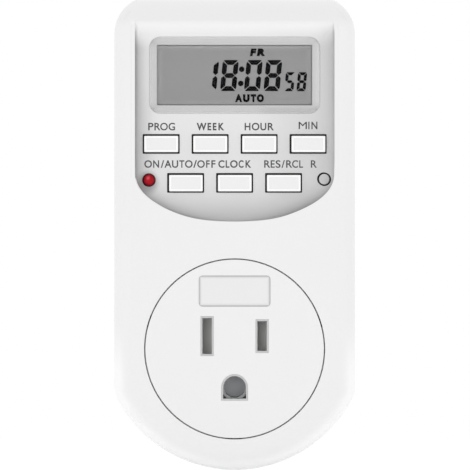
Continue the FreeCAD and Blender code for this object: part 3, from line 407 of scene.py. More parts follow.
def padded_profile(low, high, corner, profile, steps=6):
    """Rings of a rounded rectangle: each profile point is an inset from its edge and a y."""
    x = (low[0] + high[0]) / 2
    z = (low[2] + high[2]) / 2
    half_width = (high[0] - low[0]) / 2
    half_height = (high[2] - low[2]) / 2
    return [
        rounded_ring(
            x, z, half_width - inset, half_height - inset, max(corner - inset, 0.02), y, steps
        )
        for inset, y in profile
    ]


label_corner = 1.5
label_low, label_high = node_box("rear_label")
label_edge = 0.03
label = lofted("foil_label", padded_profile(label_low, label_high, label_corner, [
    (0.0, label_low[1]),
    (0.0, label_high[1] - label_edge),
    (label_edge, label_high[1]),
]))
foil = Finish("label_foil", paint(196, 198, 200), 0.34, Metallic=0.85)
foil_lines = foil.noise(0.5 * mm, where=foil.stretched(0.02, 1.0, 1.0))
foil.feed(foil.shader, {
    "Base Color": foil.mix(foil_lines, paint(186, 188, 190), paint(206, 208, 210)),
    "Roughness": 0.28 + 0.14 * foil_lines,
})
foil.relief(foil_lines, 0.002 * mm)
settle(label, foil, "case", "rear_label", slot="label_silver")


# Blades and earth pin
# Two flat blades and a round pin of nickel-plated brass stand out of the back. A
# plastic plate, screwed down inside, holds them.

def metal(name, colour, roughness, run=(1.0, 1.0, 1.0)):
    """Metal: a clouded colour, and fine lines drawn out along one axis in gloss and relief."""
    finish = Finish(name, colour, roughness, Metallic=1.0)
    lines = finish.noise(0.12 * mm, where=finish.stretched(*run))
    cloud = finish.noise(5 * mm)
    finish.feed(finish.shader, {
        "Base Color": finish.mix(cloud, shade(colour, 0.93), shade(colour, 1.05)),
        "Roughness": roughness + 0.15 * (lines - 0.5),
    })
    finish.relief(lines, 0.0015 * mm)
    return finish


plated = metal("nickel_plate", paint(206, 204, 200), 0.24, run=(1.0, 0.05, 1.0))
dress(plated, "line_blade", "neutral_blade")
dress(moulded("retainer_plastic", paint(205, 205, 200), 0.5), "blade_retainer")

pin_z = -11.9
pin_radius = 2.375
pin_shank = 2.7
pin_collar = 4.0
pin_stem = 1.6
pin_round = 1.9
pin_low, pin_high = node_box("earth_pin")
pin_tip = [
    (radius, pin_high[1] - pin_round + y)
    for radius, y in arc((pin_radius - pin_round, 0), pin_round, 0, 90, 12)
]
pin_profile = [
    (0.3, pin_low[1]), (pin_stem - 0.1, pin_low[1]), (pin_stem, pin_low[1] + 0.1),
    (pin_stem, -4.0), (pin_collar, -4.0), (pin_collar, -2.0), (pin_shank, -2.0),
    (pin_shank, -0.12), (pin_shank - 0.12, 0.0), (pin_radius, 0.0), *pin_tip,
]
pin = lofted("earth_prong", [round_ring(0, pin_z, radius, y) for radius, y in pin_profile])
settle(pin, plated, "case", "earth_pin", slot="blade_metal")


# Circuit boards
# Two green boards: one behind the display and keys, and one at the back for the mains
# parts. A flat ribbon joins them.

board = Finish("board_mask", paint(28, 92, 52), 0.35, Coat_Weight=0.4, Coat_Roughness=0.15)
track = board.node("ShaderNodeTexBrick", {"offset": 0.37, "squash": 1.6, "squash_frequency": 3}, {
    "Vector": board.node("ShaderNodeMapping", {}, {
        "Vector": board.place, "Rotation": (math.pi / 2, 0, 0),
    }),
    "Color1": (0, 0, 0, 1), "Color2": (0, 0, 0, 1), "Mortar": (1, 1, 1, 1),
    "Scale": 300.0, "Mortar Size": 0.12, "Brick Width": 1.9, "Row Height": 0.7,
})
board.feed(board.shader, {
    "Base Color": board.mix(track, paint(24, 84, 46), paint(46, 122, 66)),
})
board.relief(track, 0.03 * mm)
dress(board, "control_board", "power_board")
dress(moulded("resin", paint(22, 22, 22), 0.25, grain=1.2 * mm), "controller_chip")
dress(metal("cell_can", paint(190, 192, 196), 0.28), "backup_cell")
dress(metal("nickel_tab", paint(200, 198, 192), 0.35, run=(0.05, 1.0, 1.0)), "cell_tabs")
dress(metal("crystal_can", paint(204, 204, 206), 0.25, run=(1.0, 1.0, 0.05)), "crystal")
dress(moulded("connector_plastic", paint(236, 232, 220), 0.45), "board_connectors")

ribbon = Finish("ribbon_cover", paint(150, 152, 154), 0.5)
ribbon_x = ribbon.axes()[0]
ribbon_cores = ribbon.node("ShaderNodeTexWave", {"bands_direction": "X"}, {
    "Vector": ribbon.place, "Scale": 250.0,
})
red_core = ribbon.step(ribbon_x, -4.6, -4.7)
ribbon_grey = ribbon.mix(ribbon_cores, paint(120, 122, 124), paint(168, 170, 172))
ribbon.feed(ribbon.shader, {"Base Color": ribbon.mix(red_core, ribbon_grey, paint(170, 40, 40))})
ribbon.relief(ribbon_cores, 0.1 * mm)
dress(ribbon, "ribbon_cable")


# Mains parts
# A relay, two capacitors, a varistor, a resistor, a fuse, diodes and a transistor stand
# on the power board, and insulated wires join it to the blades and contacts.

dress(moulded("relay_case", paint(44, 92, 170), 0.4), "relay")
dress(moulded("capacitor_case", paint(222, 180, 60), 0.45), "mains_capacitor")
dress(moulded("varistor_coat", paint(40, 74, 160), 0.4, grain=0.8 * mm), "varistor")
dress(moulded("diode_body", paint(28, 28, 30), 0.4), "diodes", "transistor")

sleeve = moulded("capacitor_sleeve", paint(30, 36, 60), 0.35)
sleeve_x = sleeve.axes()[0]
stripe = sleeve.step(sleeve_x, -17.2, -17.4)
sleeve.feed(sleeve.shader, {
    "Base Color": sleeve.mix(stripe, paint(30, 36, 60), paint(190, 194, 200)),
})
dress(sleeve, "smoothing_capacitor")


def banded(name, colour, bands):
    """A painted body with rings of colour along X: each band is its middle, in mm, and paint."""
    finish = moulded(name, colour, 0.4)
    along = finish.axes()[0]
    look = colour
    for middle, ring in bands:
        look = finish.mix(finish.step(abs(along - middle), 0.5, 0.4), look, ring)
    finish.feed(finish.shader, {"Base Color": look})
    return finish


dress(banded("resistor_paint", paint(120, 130, 132), [
    (-12.2, paint(110, 60, 30)), (-10.6, paint(30, 30, 30)), (-9.0, paint(190, 60, 40)),
    (-6.4, paint(200, 160, 60)),
]), "resistor")
dress(banded("fuse_body", paint(110, 70, 48), [(11.0, paint(220, 214, 200))]), "fuse")


def insulated(name, colour):
    """Wire insulation: smooth plastic with a slight gloss and faint draw lines."""
    finish = Finish(name, colour, 0.4)
    lines = finish.noise(0.4 * mm, where=finish.stretched(1.0, 1.0, 0.1))
    finish.feed(finish.shader, {
        "Base Color": finish.mix(lines, shade(colour, 0.9), shade(colour, 1.06)),
        "Roughness": 0.35 + 0.15 * lines,
    })
    finish.relief(lines, 0.01 * mm)
    return finish


dress(insulated("black_insulation", paint(32, 32, 34)), "line_wires")
dress(insulated("white_insulation", paint(228, 228, 226)), "neutral_wires")


# Shutter and contact block
# Behind the face a white shutter slides in front of the slots, against a spring. The
# insulating block holds three folded brass contacts, and its cover is staked on.

dress(moulded("shutter_plastic", paint(250, 250, 248), 0.5), "shutter")
dress(moulded("block_plastic", paint(250, 250, 248), 0.6), "contact_block", "block_cover")

spring_wire = 0.3
spring_turns = 6
spring_low, spring_high = node_box("shutter_spring")


def coil(name, low, high, wire, turns, per_turn=28, around=10):
    """A closed-end coil spring along X: at share t of its length the wire's centre is at
    x0 + length (t - 0.8 sin(2 pi t) / (2 pi)), at the angle 2 pi turns t."""
    share = np.linspace(0, 1, turns * per_turn + 1)
    turn = 2 * np.pi * turns * share
    radius = (high[2] - low[2] - wire) / 2
    middle = (low + high) / 2
    x = low[0] + wire / 2 + (high[0] - low[0] - wire) * (
        share - 0.8 * np.sin(2 * np.pi * share) / (2 * np.pi)
    )
    outward = np.column_stack([np.zeros(len(turn)), np.cos(turn), np.sin(turn)])
    path = middle + radius * outward
    path[:, 0] = x
    along = np.gradient(path, axis=0)
    along /= np.linalg.norm(along, axis=1)[:, None]
    across = np.cross(outward, along)
    swing = np.arange(around) * 2 * np.pi / around
    rings = path[:, None] + wire / 2 * (
        np.cos(swing)[:, None] * outward[:, None] + np.sin(swing)[:, None] * across[:, None]
    )
    return lofted(name, rings, crease=60)


spring = coil("shutter_coil", spring_low, spring_high, spring_wire, spring_turns)
spring_steel = metal("spring_wire", paint(150, 152, 156), 0.3, run=(1.0, 0.1, 0.1))
settle(spring, spring_steel, "case", "shutter_spring", slot="spring_steel")
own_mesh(spring)
dress(
    metal("bare_brass", paint(200, 164, 92), 0.3, run=(1.0, 0.05, 1.0)),
    "line_contact", "neutral_contact",
)
dress(
    metal("tinned_brass", paint(203, 204, 206), 0.37, run=(1.0, 0.05, 1.0)), "earth_contact",
)


# Outlet face and blank plate
# A round white disc with two slots and an earth hole, clamped behind the front shell.
# The blank plate snaps into it where other models have a switch, with painted shade along its edge.

case_front = -36.0
disc_middle = -2.95


def reach(across, up):
    """How far a place lies from the middle: the root of across² + up²."""
    return (across * across + up * up) ** 0.5


face_finish = moulded("face_plastic", case_white, 0.4)
face_x, face_y, face_z = face_finish.axes()
# Painted shade makes the slots and the earth hole grey inside: paler on the sloping rim, and darker
# further in.
face_reach = reach(face_x, face_z - disc_middle)
hole_shade_area = (
    face_finish.step(face_y, case_front + 0.02, case_front + 0.1)
    * face_finish.step(face_z, 6.4, 6.0)
    * face_finish.step(face_reach, 18.0, 17.0)
)
face_deep = face_finish.step(face_y, case_front + 0.45, case_front + 0.7)
rim_deep = face_finish.step(face_y, case_front + 0.08, case_front + 0.3)
rim_shade_paint = face_finish.mix(rim_deep, paint(192, 192, 192), paint(216, 216, 216))
hole_shade_paint = face_finish.mix(face_deep, rim_shade_paint, paint(120, 120, 120))
face_finish.feed(face_finish.shader, {
    "Base Color": face_finish.mix(hole_shade_area, case_white, hole_shade_paint),
})
dress(face_finish, "outlet_face")

plate_corner = 0.8
plate_round = 0.16
plate_grow = 0.07
plate_rim = 0.12
plate_middle = 10.4
plate_low, plate_high = node_box("outlet_plate")
plate_edge = [
    (plate_round - plate_grow + dx, plate_low[1] + plate_round + dy)
    for dx, dy in arc((0, 0), plate_round, -90, -180, 4)
]
plate = lofted("blank_plate", padded_profile(
    plate_low, plate_high, plate_corner, [*plate_edge, (-plate_grow, plate_high[1])], steps=8,
))
plate_finish = moulded("plate_plastic", paint(235, 235, 235), 0.45)
plate_x, _, plate_z = plate_finish.axes()
plate_side = abs(plate_x) - plate_high[0] + plate_rim
plate_end = abs(plate_z - plate_middle) - (plate_high[2] - plate_low[2]) / 2 + plate_rim
plate_out = plate_finish.sum("MAXIMUM", plate_side, plate_end)
# Painted shade: a grey band just inside the plate's edge, and a fainter one further in, stands in
# for the shadow of the gap round it.
plate_shade_band = (
    plate_finish.step(plate_out, -0.32, -0.02, 0.0, 0.8)
    + plate_finish.step(plate_out, -0.8, -0.2, 0.0, 0.2)
)
plate_finish.feed(plate_finish.shader, {
    "Base Color": plate_finish.mix(plate_shade_band, paint(236, 236, 236), paint(196, 196, 196)),
})
settle(plate, plate_finish, "case", "outlet_plate", slot="plate_white")


# Display cell and frame
# Two glass plates hold the liquid crystal, with a grey polariser on the front and a
# reflector behind. A black frame clips them to the board on two rubber strips.

# The part of the display that shows through the border.
pane_half_width = 17.85
pane_half_height = 6.9
pane_middle = 60.3

cell = Finish("polariser", paint(153, 153, 153), 0.35, Coat_Weight=0.3, Coat_Roughness=0.1)
cell_x, _, cell_z = cell.axes()
cell_grain = cell.noise(0.12 * mm, where=cell.stretched(1.0, 1.0, 0.15))
cell_side = abs(cell_x) - pane_half_width
cell_end = abs(cell_z - pane_middle) - pane_half_height
cell_out = cell.sum("MAXIMUM", cell_side, cell_end)
# A dark line runs along the right side and the foot. Painted light makes the cell paler near
# its edges, and paler still along the top, against the shade that the border casts on it.
cell_line = cell.sum("MAXIMUM", cell_x - 17.81, 53.48 - cell_z)
cell_edge_light = cell.mix(cell.step(cell_z, 66.7, 66.8), paint(167, 167, 167), paint(186, 186, 186))
cell_middle = cell.mix(cell_grain, paint(154, 154, 154), paint(159, 159, 159))
cell_grey = cell.mix(cell.step(cell_out, -1.6, -0.4), cell_middle, cell_edge_light)
cell.feed(cell.shader, {
    "Base Color": cell.mix(cell.step(cell_line, -0.1, 0.0), cell_grey, paint(110, 110, 110)),
})
dress(cell, "display_cell")

film = Finish("film_silver", paint(190, 192, 190), 0.3, Metallic=0.6)
film_grain = film.noise(0.1 * mm)
film.feed(film.shader, {"Roughness": 0.25 + 0.2 * film_grain})
film.relief(film_grain, 0.002 * mm)
dress(film, "display_reflector")
dress(moulded("frame_plastic", paint(30, 30, 32), 0.5), "display_frame")


def rubber(name, colour, roughness=0.8):
    """Rubber: matt, with a cloudy colour and a little bloom."""
    finish = Finish(name, colour, roughness)
    bloom = finish.noise(2.5 * mm)
    grain = finish.noise(0.2 * mm)
    finish.feed(finish.shader, {
        "Base Color": finish.mix(bloom, shade(colour, 0.85), shade(colour, 1.15)),
        "Roughness": roughness + 0.15 * (grain - 0.5),
    })
    finish.relief(grain, 0.006 * mm)
    return finish


strips = rubber("strip_finish", paint(120, 84, 90))
strip_stripe = strips.node("ShaderNodeTexWave", {"bands_direction": "Z"}, {
    "Vector": strips.place, "Scale": 320.0, "Distortion": 0.0,
})
strips.feed(strips.shader, {
    "Base Color": strips.mix(strip_stripe, paint(52, 50, 54), paint(168, 110, 118)),
})
dress(strips, "contact_strips")


# Display digits
# The liquid crystal's dark segments lie in the glass. Each digit leans, and thin gaps
# part its segments.

display_front = node_box("display_cell")[0][1]
ink_front = display_front - 0.03
ink_rear = display_front + 0.01
lean = math.tan(math.radians(5.4))


def prisms(name, outlines, front=ink_front, rear=ink_rear):
    """Flat outlines in X and Z, each made a closed prism between two planes."""
    points = []
    faces = []
    base = 0
    for outline in outlines:
        outline = np.asarray(outline, float)
        count = len(outline)
        for y in (front, rear):
            points.append(np.column_stack([outline[:, 0], np.full(count, y), outline[:, 1]]))
        around = base + np.arange(count)
        ahead = np.roll(around, -1)
        faces.append(around.tolist())
        faces.append((around[::-1] + count).tolist())
        faces += np.stack([around, around + count, ahead + count, ahead], axis=-1).tolist()
        base += 2 * count
    return mesh_piece(name, np.concatenate(points) * mm, faces)


def digit(x, z, width, height, stroke, gap, lit):
    """The outlines of a digit's lit segments, named a to g as usual. Their points are sums of
    half its width and height, its stroke and the gap. Its corners are cut, and each point
    moves right by its height over the digit's middle times the lean."""
    w = width / 2
    h = height / 2
    t = stroke
    upper = [
        (w, h - 0.72 * t), (w - 0.16 * t, h - 0.36 * t), (w - t, h - t - gap),
        (w - t, t / 2 + gap), (w - t / 2, gap), (w, t / 2),
    ]
    end = w - 0.26 * t
    top = [
        (0.08 * t - end, h), (-end, h - 0.16 * t), (gap - w + t, h - t),
        (w - t - gap, h - t), (end, h - 0.16 * t), (end - 0.08 * t, h),
    ]
    middle = [
        (t / 2 - w + gap, 0), (t - w + gap / 2, -t / 2), (w - t - gap / 2, -t / 2),
        (w - t / 2 - gap, 0), (w - t - gap / 2, t / 2), (t - w + gap / 2, t / 2),
    ]
    shapes = {
        "a": np.array(top),
        "b": np.array(upper),
        "c": np.array(upper)[::-1] * (1, -1),
        "d": np.array(top)[::-1] * (1, -1),
        "e": np.array(upper) * (-1, -1),
        "f": np.array(upper)[::-1] * (-1, 1),
        "g": np.array(middle),
    }
    outlines = []
    for letter in lit:
        shape = shapes[letter]
        outlines.append(np.column_stack([x + shape[:, 0] + lean * shape[:, 1], z + shape[:, 1]]))
    return outlines


def dot(x, z, radius, steps=24):
    """A round dot's outline: its middle plus the radius times each cosine and sine."""
    turn = np.arange(steps) * 2 * np.pi / steps
    return np.column_stack([x + radius * np.cos(turn), z + radius * np.sin(turn)])


lit_segments = {"0": "abcdef", "1": "bc", "5": "acdfg", "8": "abcdefg"}
# The width, height, stroke and gap of the large digits and the small ones.
clock_size = (3.72, 7.18, 1.12, 0.1)
second_size = (2.12, 4.4, 0.7, 0.06)
clock_z = 60.25
second_z = 58.82
colon_radius = 0.65
clock = []
for figure, x in (("1", -5.77), ("8", -1.20), ("0", 4.33), ("8", 8.86)):
    clock += digit(x, clock_z, *clock_size, lit_segments[figure])
clock += [dot(1.64, 61.7, colon_radius), dot(1.43, 58.42, colon_radius)]
seconds = []
for figure, x in (("5", 12.74), ("8", 15.54)):
    seconds += digit(x, second_z, *second_size, lit_segments[figure])

crystal_ink = Finish("crystal_ink", paint(16, 16, 18), 0.7, Specular_IOR_Level=0.0)
ink_cloud = crystal_ink.noise(1.5 * mm)
crystal_ink.feed(crystal_ink.shader, {
    "Base Color": crystal_ink.mix(ink_cloud, paint(12, 12, 14), paint(20, 20, 23)),
})
for name, outlines in (("clock_digits", clock), ("second_digits", seconds)):
    settle(prisms(name, outlines), crystal_ink, "case")


def font_mesh(letter, offset, shear):
    """A letter in the built-in font, as a thick mesh in its own plane."""
    curve = bpy.data.curves.new("lettering", "FONT")
    curve.body = letter
    curve.extrude = 0.5
    curve.offset = offset
    curve.shear = shear
    curve.resolution_u = 6
    holder = bpy.data.objects.new("lettering", curve)
    bpy.context.scene.collection.objects.link(holder)
    view = bpy.context.evaluated_depsgraph_get()
    mesh = bpy.data.meshes.new_from_object(holder.evaluated_get(view))
    bpy.data.objects.remove(holder)
    return mesh


def flat(x):
    """No rise anywhere along X."""
    return x * 0.0


def mesh_points(mesh):
    """A mesh's points, in a row each."""
    points = np.empty(len(mesh.vertices) * 3)
    mesh.vertices.foreach_get("co", points)
    return points.reshape(-1, 3)


def lettering(name, word, spans, base_z, cap, front, rear, offset=0, shear=0, rise=flat):
    """A printed word. Each letter fills its span along X, and its capital height is scaled
    to size. It is as thick as the planes are apart, and comes forward by the rise along X.
    The offset makes it bolder, but not an M, whose corners would cross."""
    capital = mesh_points(font_mesh("H", offset, shear))
    foot = capital[:, 1].min()
    tall = capital[:, 1].max() - foot
    work = bmesh.new()
    for letter, (left, right) in zip(word, spans):
        mesh = font_mesh(letter, 0.0 if letter == "M" else offset, shear)
        points = mesh_points(mesh)
        low = points.min(axis=0)
        high = points.max(axis=0)
        across = left + (points[:, 0] - low[0]) * (right - left) / (high[0] - low[0])
        up = base_z + (points[:, 1] - foot) * cap / tall
        deep = rear + (points[:, 2] - low[2]) * (front - rear) / (high[2] - low[2]) - rise(across)
        mesh.vertices.foreach_set("co", (np.column_stack([across, deep, up]) * mm).ravel())
        work.from_mesh(mesh)
        bpy.data.meshes.remove(mesh)
    bmesh.ops.remove_doubles(work, verts=work.verts, dist=0.0005 * mm)
    joined = bpy.data.meshes.new(name)
    work.to_mesh(joined)
    work.free()
    piece = bpy.data.objects.new(name, joined)
    bpy.context.scene.collection.objects.link(piece)
    return piece


day_spans = [(3.52, 5.08), (5.11, 7.05)]
day_word = lettering(
    "day_word", "FR", day_spans, 64.75, 1.74, ink_front, ink_rear, offset=0.078, shear=0.15
)
mode_spans = [(0.09, 1.78), (1.94, 3.48), (3.71, 4.98), (5.13, 6.79)]
mode_word = lettering(
    "mode_word", "AUTO", mode_spans, 54.1, 1.82, ink_front, ink_rear, offset=0.088
)
settle(day_word, crystal_ink, "case")
settle(mode_word, crystal_ink, "case")


# Keypad
# One sheet of grey silicone rubber lies on the board. It has a hollow dome under each
# key and one under the reset button.

key_words = ("program", "week", "hour", "minute", "mode", "clock", "recall")
pad_low, pad_high = node_box("keypad")
sheet_thick = 0.9
sheet_front = pad_high[1] - sheet_thick
sheet_step_x = pad_low[0] + 5.66
sheet_step_z = 39.9
silicone = rubber("keypad_silicone", paint(120, 122, 126))
settle(prisms("keypad_sheet", [[
    (sheet_step_x, pad_low[2]), (pad_high[0], pad_low[2]), (pad_high[0], sheet_step_z),
    (-pad_low[0], sheet_step_z), (-pad_low[0], pad_high[2]), (pad_low[0], pad_high[2]),
    (pad_low[0], sheet_step_z), (sheet_step_x, sheet_step_z),
]], sheet_front, pad_high[1]), silicone, "case", "keypad", slot="keypad_rubber")

dome_skirt = 0.55
dome_roof = 1.1
dome_wall = 0.45
dome_pad = 0.9
dome_inset = 1.2
dome_corner = 0.8
reset_dome_inset = 0.35
reset_dome_corner = 1.5


def dome(name, node, margin, corner):
    """A hollow dome: a pad that stands on a thin sloping skirt."""
    low, high = node_box(node)
    top = high[1]
    skirt_top = top + dome_roof
    low = low + margin
    high = high - margin
    piece = lofted(name, padded_profile(low, high, corner, [
        (dome_skirt + dome_pad, top + 0.05),
        (dome_skirt + 0.7, top),
        (dome_skirt + 0.06, top),
        (dome_skirt, top + 0.06),
        (dome_skirt, skirt_top),
        (0.0, sheet_front - 0.12),
        (0.0, sheet_front),
        (dome_wall, sheet_front),
        (dome_skirt + dome_wall, skirt_top + dome_wall),
        (dome_skirt + dome_pad, skirt_top + dome_wall),
    ]), crease=40)
    settle(piece, silicone, "case", slot="keypad_rubber")
    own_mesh(piece)


for word in key_words:
    dome("dome_" + word, "key_" + word, dome_inset, dome_corner)
dome("dome_reset", "reset_button", reset_dome_inset, reset_dome_corner)


# Front shell
# The front half of the case is the same white plastic. Its sunken control panel, with an
# end like half an ellipse, is silver grey, darkened by painted shade towards its edges,
# and fades out above.

panel_y = -34.0
panel_half_width = 23.0
panel_bend = 37.2
panel_end = 10.7
ring_x = 20.75
ring_z = 36.22
lamp_x = -19.8
lamp_z = 36.05
shadow_x = lamp_x - 0.4
shadow_z = lamp_z - 0.65
front_finish = Finish("case_front_plastic", case_white, 0.42)
front_step = front_finish.step
front_mix = front_finish.mix
front_x, front_y, front_z = front_finish.axes()
front_grain = front_finish.noise(plastic_grain)
front_mottle = front_finish.noise(plastic_mottle)
panel_side = front_x / panel_half_width
panel_drop = front_finish.sum("MINIMUM", front_z - panel_bend, 0.0) / panel_end
panel_reach = reach(panel_side, panel_drop)
panel_right = front_step(front_x, 1.0, 19.0)

# Painted shade darkens the panel towards its edge and its foot, to the upper right and in a
# shadow round the lamp, with a thin line of painted shade along the edge itself.
rim_power = 2.2 + (1.0 - panel_right) * (
    front_step(front_z, 50.0, 63.0) + front_step(front_z, 66.0, 69.0, 0.0, 3.0)
)
panel_edge_shade = 1.18 * front_finish.sum("MAXIMUM", (panel_reach - 0.72) / 0.27, 0.0) ** rim_power
rim_share = front_finish.sum("MINIMUM", abs(panel_side) * 1.4, 1.0) ** 1.5 * (
    0.38 - 0.22 * panel_right - 0.3 * panel_right * panel_drop
)
edge_shade_line = (
    front_step(panel_reach, 0.965, 1.0)
    * front_step(front_z, 72.6, 70.2)
    * (front_step(front_z, 66.0, 70.0, 0.2, 0.38) - 0.12 * panel_right)
)
fade_left = front_step(front_z, 71.2, 66.4) * (1.0 - panel_right)
fade_right = front_step(front_z, 73.6, 69.0) * panel_right
shade_right = front_step(front_z, 72.0, 66.0) * panel_right
lamp_shadow = front_step(reach(front_x - shadow_x, front_z - shadow_z), 3.4, 1.2)
panel_light = (
    (1.0 - rim_share * panel_edge_shade * (fade_left + fade_right))
    * (1.0 - edge_shade_line)
    * (1.0 - 0.42 * panel_drop * panel_drop)
    * (1.0 - 0.15 * shade_right)
    * (1.0 - 0.4 * lamp_shadow)
    * front_step(front_z, 50.0, 40.0, 1.0, 0.96)
)

# The grey and its painted shade cover the sunk floor and lap over its edge. At the lower left they
# stop short.
sunk = front_step(front_y, case_front + 0.02, case_front + 0.1)
inside = front_step(front_y, -30.0, -31.0) * front_step(panel_reach, 1.05, 1.02)
lap_wide = front_step(front_x, -1.0, 1.0, 0.05, 0.12) * front_step(front_z, 36.0, 41.0)
lap_low = (
    front_step(abs(front_x), 17.3, 10.0) * front_step(abs(front_x), 1.0, 9.5, 0.06, 0.23)
)
lap_side = (abs(front_x) - lap_wide) / panel_half_width
lap_drop = front_finish.sum("MINIMUM", front_z + lap_low - panel_bend, 0.0) / panel_end
lap = front_step(reach(lap_side, lap_drop), 1.001, 0.997) * front_step(front_z, 71.8, 69.8)
trim = (
    front_step(panel_reach, 0.99, 0.993)
    * front_step(front_x, -15.5, -18.5)
    * front_step(front_z, 36.8, 36.0)
)
panel_area = (
    front_finish.sum("MAXIMUM", sunk * inside, lap)
    * front_step(front_z, 73.6, 73.2)
    * (1.0 - trim)
)

# Painted shade makes the walls of the key openings dark, and a ring of painted shade lies round the
# reset button.
gap_square = front_step(front_z, 50.5, 50.0) * front_step(front_y, panel_y + 0.03, panel_y + 0.1)
gap_area = front_step(front_z, 25.0, 26.0) * front_step(abs(front_x), 22.6, 22.3)
lamp_side = front_step(front_x, -17.4, -17.6) * front_step(front_z, 38.6, 38.4)
reset_ring_shade = front_step(reach(front_x - ring_x, front_z - ring_z), 1.57, 1.53)
gap_shade_share = front_finish.sum("MAXIMUM", gap_square * gap_area * (1.0 - lamp_side), reset_ring_shade)

# Painted light makes the white plastic a little paler on the round of its lower edge, and
# painted shade makes it darker at the top. Painted light makes the panel's floor paler
# where it rises at the top.
flat_paint = front_mix(front_mottle, shade(case_white, 0.985), shade(case_white, 1.01))
low_edge_light = (
    front_step(front_y, case_front + 0.03, -34.5)
    * front_step(front_y, -21.0, -33.0)
    * front_step(front_z, 4.0, -10.0)
)
white_paint = front_mix(low_edge_light, flat_paint, paint(251, 251, 251))
top_shade_paint = front_mix(front_step(front_z, 71.0, 74.0), white_paint, paint(235, 235, 235))
floor_light = front_step(front_z, 72.4, 66.5)
floor_paint = front_mix(floor_light, paint(248, 248, 248), paint(230, 230, 230))
ramp_paint = front_mix(front_step(front_z, 73.2, 71.6), top_shade_paint, floor_paint)
panel_paint = front_mix(panel_light, (0, 0, 0, 1), ramp_paint)
shell_paint = front_mix(panel_area, top_shade_paint, panel_paint)
front_finish.feed(front_finish.shader, {
    "Base Color": front_mix(gap_shade_share, shell_paint, paint(16, 16, 16)),
    "Roughness": 0.42 + 0.08 * (front_grain - 0.5) + 0.5 * gap_shade_share,
})
front_finish.relief(front_grain, plastic_relief)
dress(front_finish, "front_shell")


# Window
# A clear acrylic lens, sunk in the panel, over a border printed grey. Painted light makes
# the border paler towards its outer edge and its right side, against the shade of the
# sunk window.

border_width = 1.85
border_height = 1.95
border = Finish("border_ink", paint(218, 218, 218), 0.5)
border_x, _, border_z = border.axes()
border_speck = border.noise(0.15 * mm)
border_side = (abs(border_x) - pane_half_width) / border_width
border_end = (abs(border_z - pane_middle) - pane_half_height) / border_height
border_share = border.sum("MAXIMUM", border_side, border_end)
# Painted light, paler towards the outer edge and the right; the foot is a little darker towards the
# right.
border_out = border.step(border_share, 0.1, 1.0)
border_last = border.step(border_share, 0.78, 0.96)
border_right = border.step(border_x, 17.0, 18.4)
border_grey = border.mix(border_speck, paint(217, 217, 217), paint(221, 221, 221))
border_painted_light = border.mix(border_right, paint(236, 236, 236), paint(250, 250, 250))
border_low = 1.0 - border.step(border_z, 53.2, 52.4) * border.step(border_x, 4.0, 9.0, 0.03, 0.14)
border_fade = border.mix(border_out, border_grey, border_painted_light)
border_light = border.mix(border_last, border_fade, paint(255, 255, 255))
border_tone = border.mix(border_low, (0, 0, 0, 1), border_light)
# The dark line lies along the border's inner edge.
border_line = border.step(
    border.sum("MAXIMUM", abs(border_x + 0.03) - 17.99, abs(border_z - 60.34) - 7.02), 0.02, -0.02
)
border.feed(border.shader, {
    "Base Color": border.mix(border_line, border_tone, paint(156, 156, 156)),
})
dress(border, "window_mask")

window_corner = 2.6
window_bevel = 0.06
lens_gap = 0.03
window_low, window_high = node_box("display_window")
window_bevel_rings = [
    (window_bevel - x, window_low[1] + window_bevel - y)
    for x, y in arc((0, 0), window_bevel, 90, 0, 4)
]
lens = lofted("window_lens", padded_profile(
    window_low, window_high, window_corner,
    window_bevel_rings + [(0.0, window_high[1] - lens_gap)], steps=12,
))
acrylic = Finish("lens_acrylic", paint(60, 60, 60), 0.04, Alpha=0.04, IOR=1.49)
acrylic_haze = acrylic.noise(20 * mm)
acrylic.feed(acrylic.shader, {"Roughness": 0.03 + 0.03 * acrylic_haze})
settle(lens, acrylic, "case", "display_window", slot="lens_clear")


# Keys
# Seven white keys with a raised rim round a shallow dish. A flange behind the panel
# keeps each one in, and its rubber dome pushes it out.

key_corner = 0.2
key_side = 0.67
key_rim = 0.5
key_round = 0.15
key_dish = 0.12
key_floor = 0.9
key_flange = 0.9
key_top = -34.9
key_finish = Finish("key_plastic", paint(250, 250, 250), 0.35)
key_grain = key_finish.noise(0.3 * mm)
key_y = key_finish.axes()[1]
key_sunk = key_finish.step(key_y, key_top + 0.04, key_top + 0.09)
key_dish_shade = key_sunk * key_finish.step(key_y, key_top + 0.2, key_top + 0.16)
# The rim carries a painted highlight, a little paler than the dish, and the sides below the panel
# are painted dark as shade in the gap.
key_finish.feed(key_finish.shader, {
    "Base Color": key_finish.mix(
        key_finish.step(key_y, panel_y + 0.05, panel_y + 0.15),
        key_finish.mix(key_dish_shade, paint(255, 255, 255), paint(240, 240, 240)),
        paint(26, 26, 26),
    ),
    "Roughness": 0.35 + 0.08 * (key_grain - 0.5),
})
key_finish.relief(key_grain, 0.002 * mm)
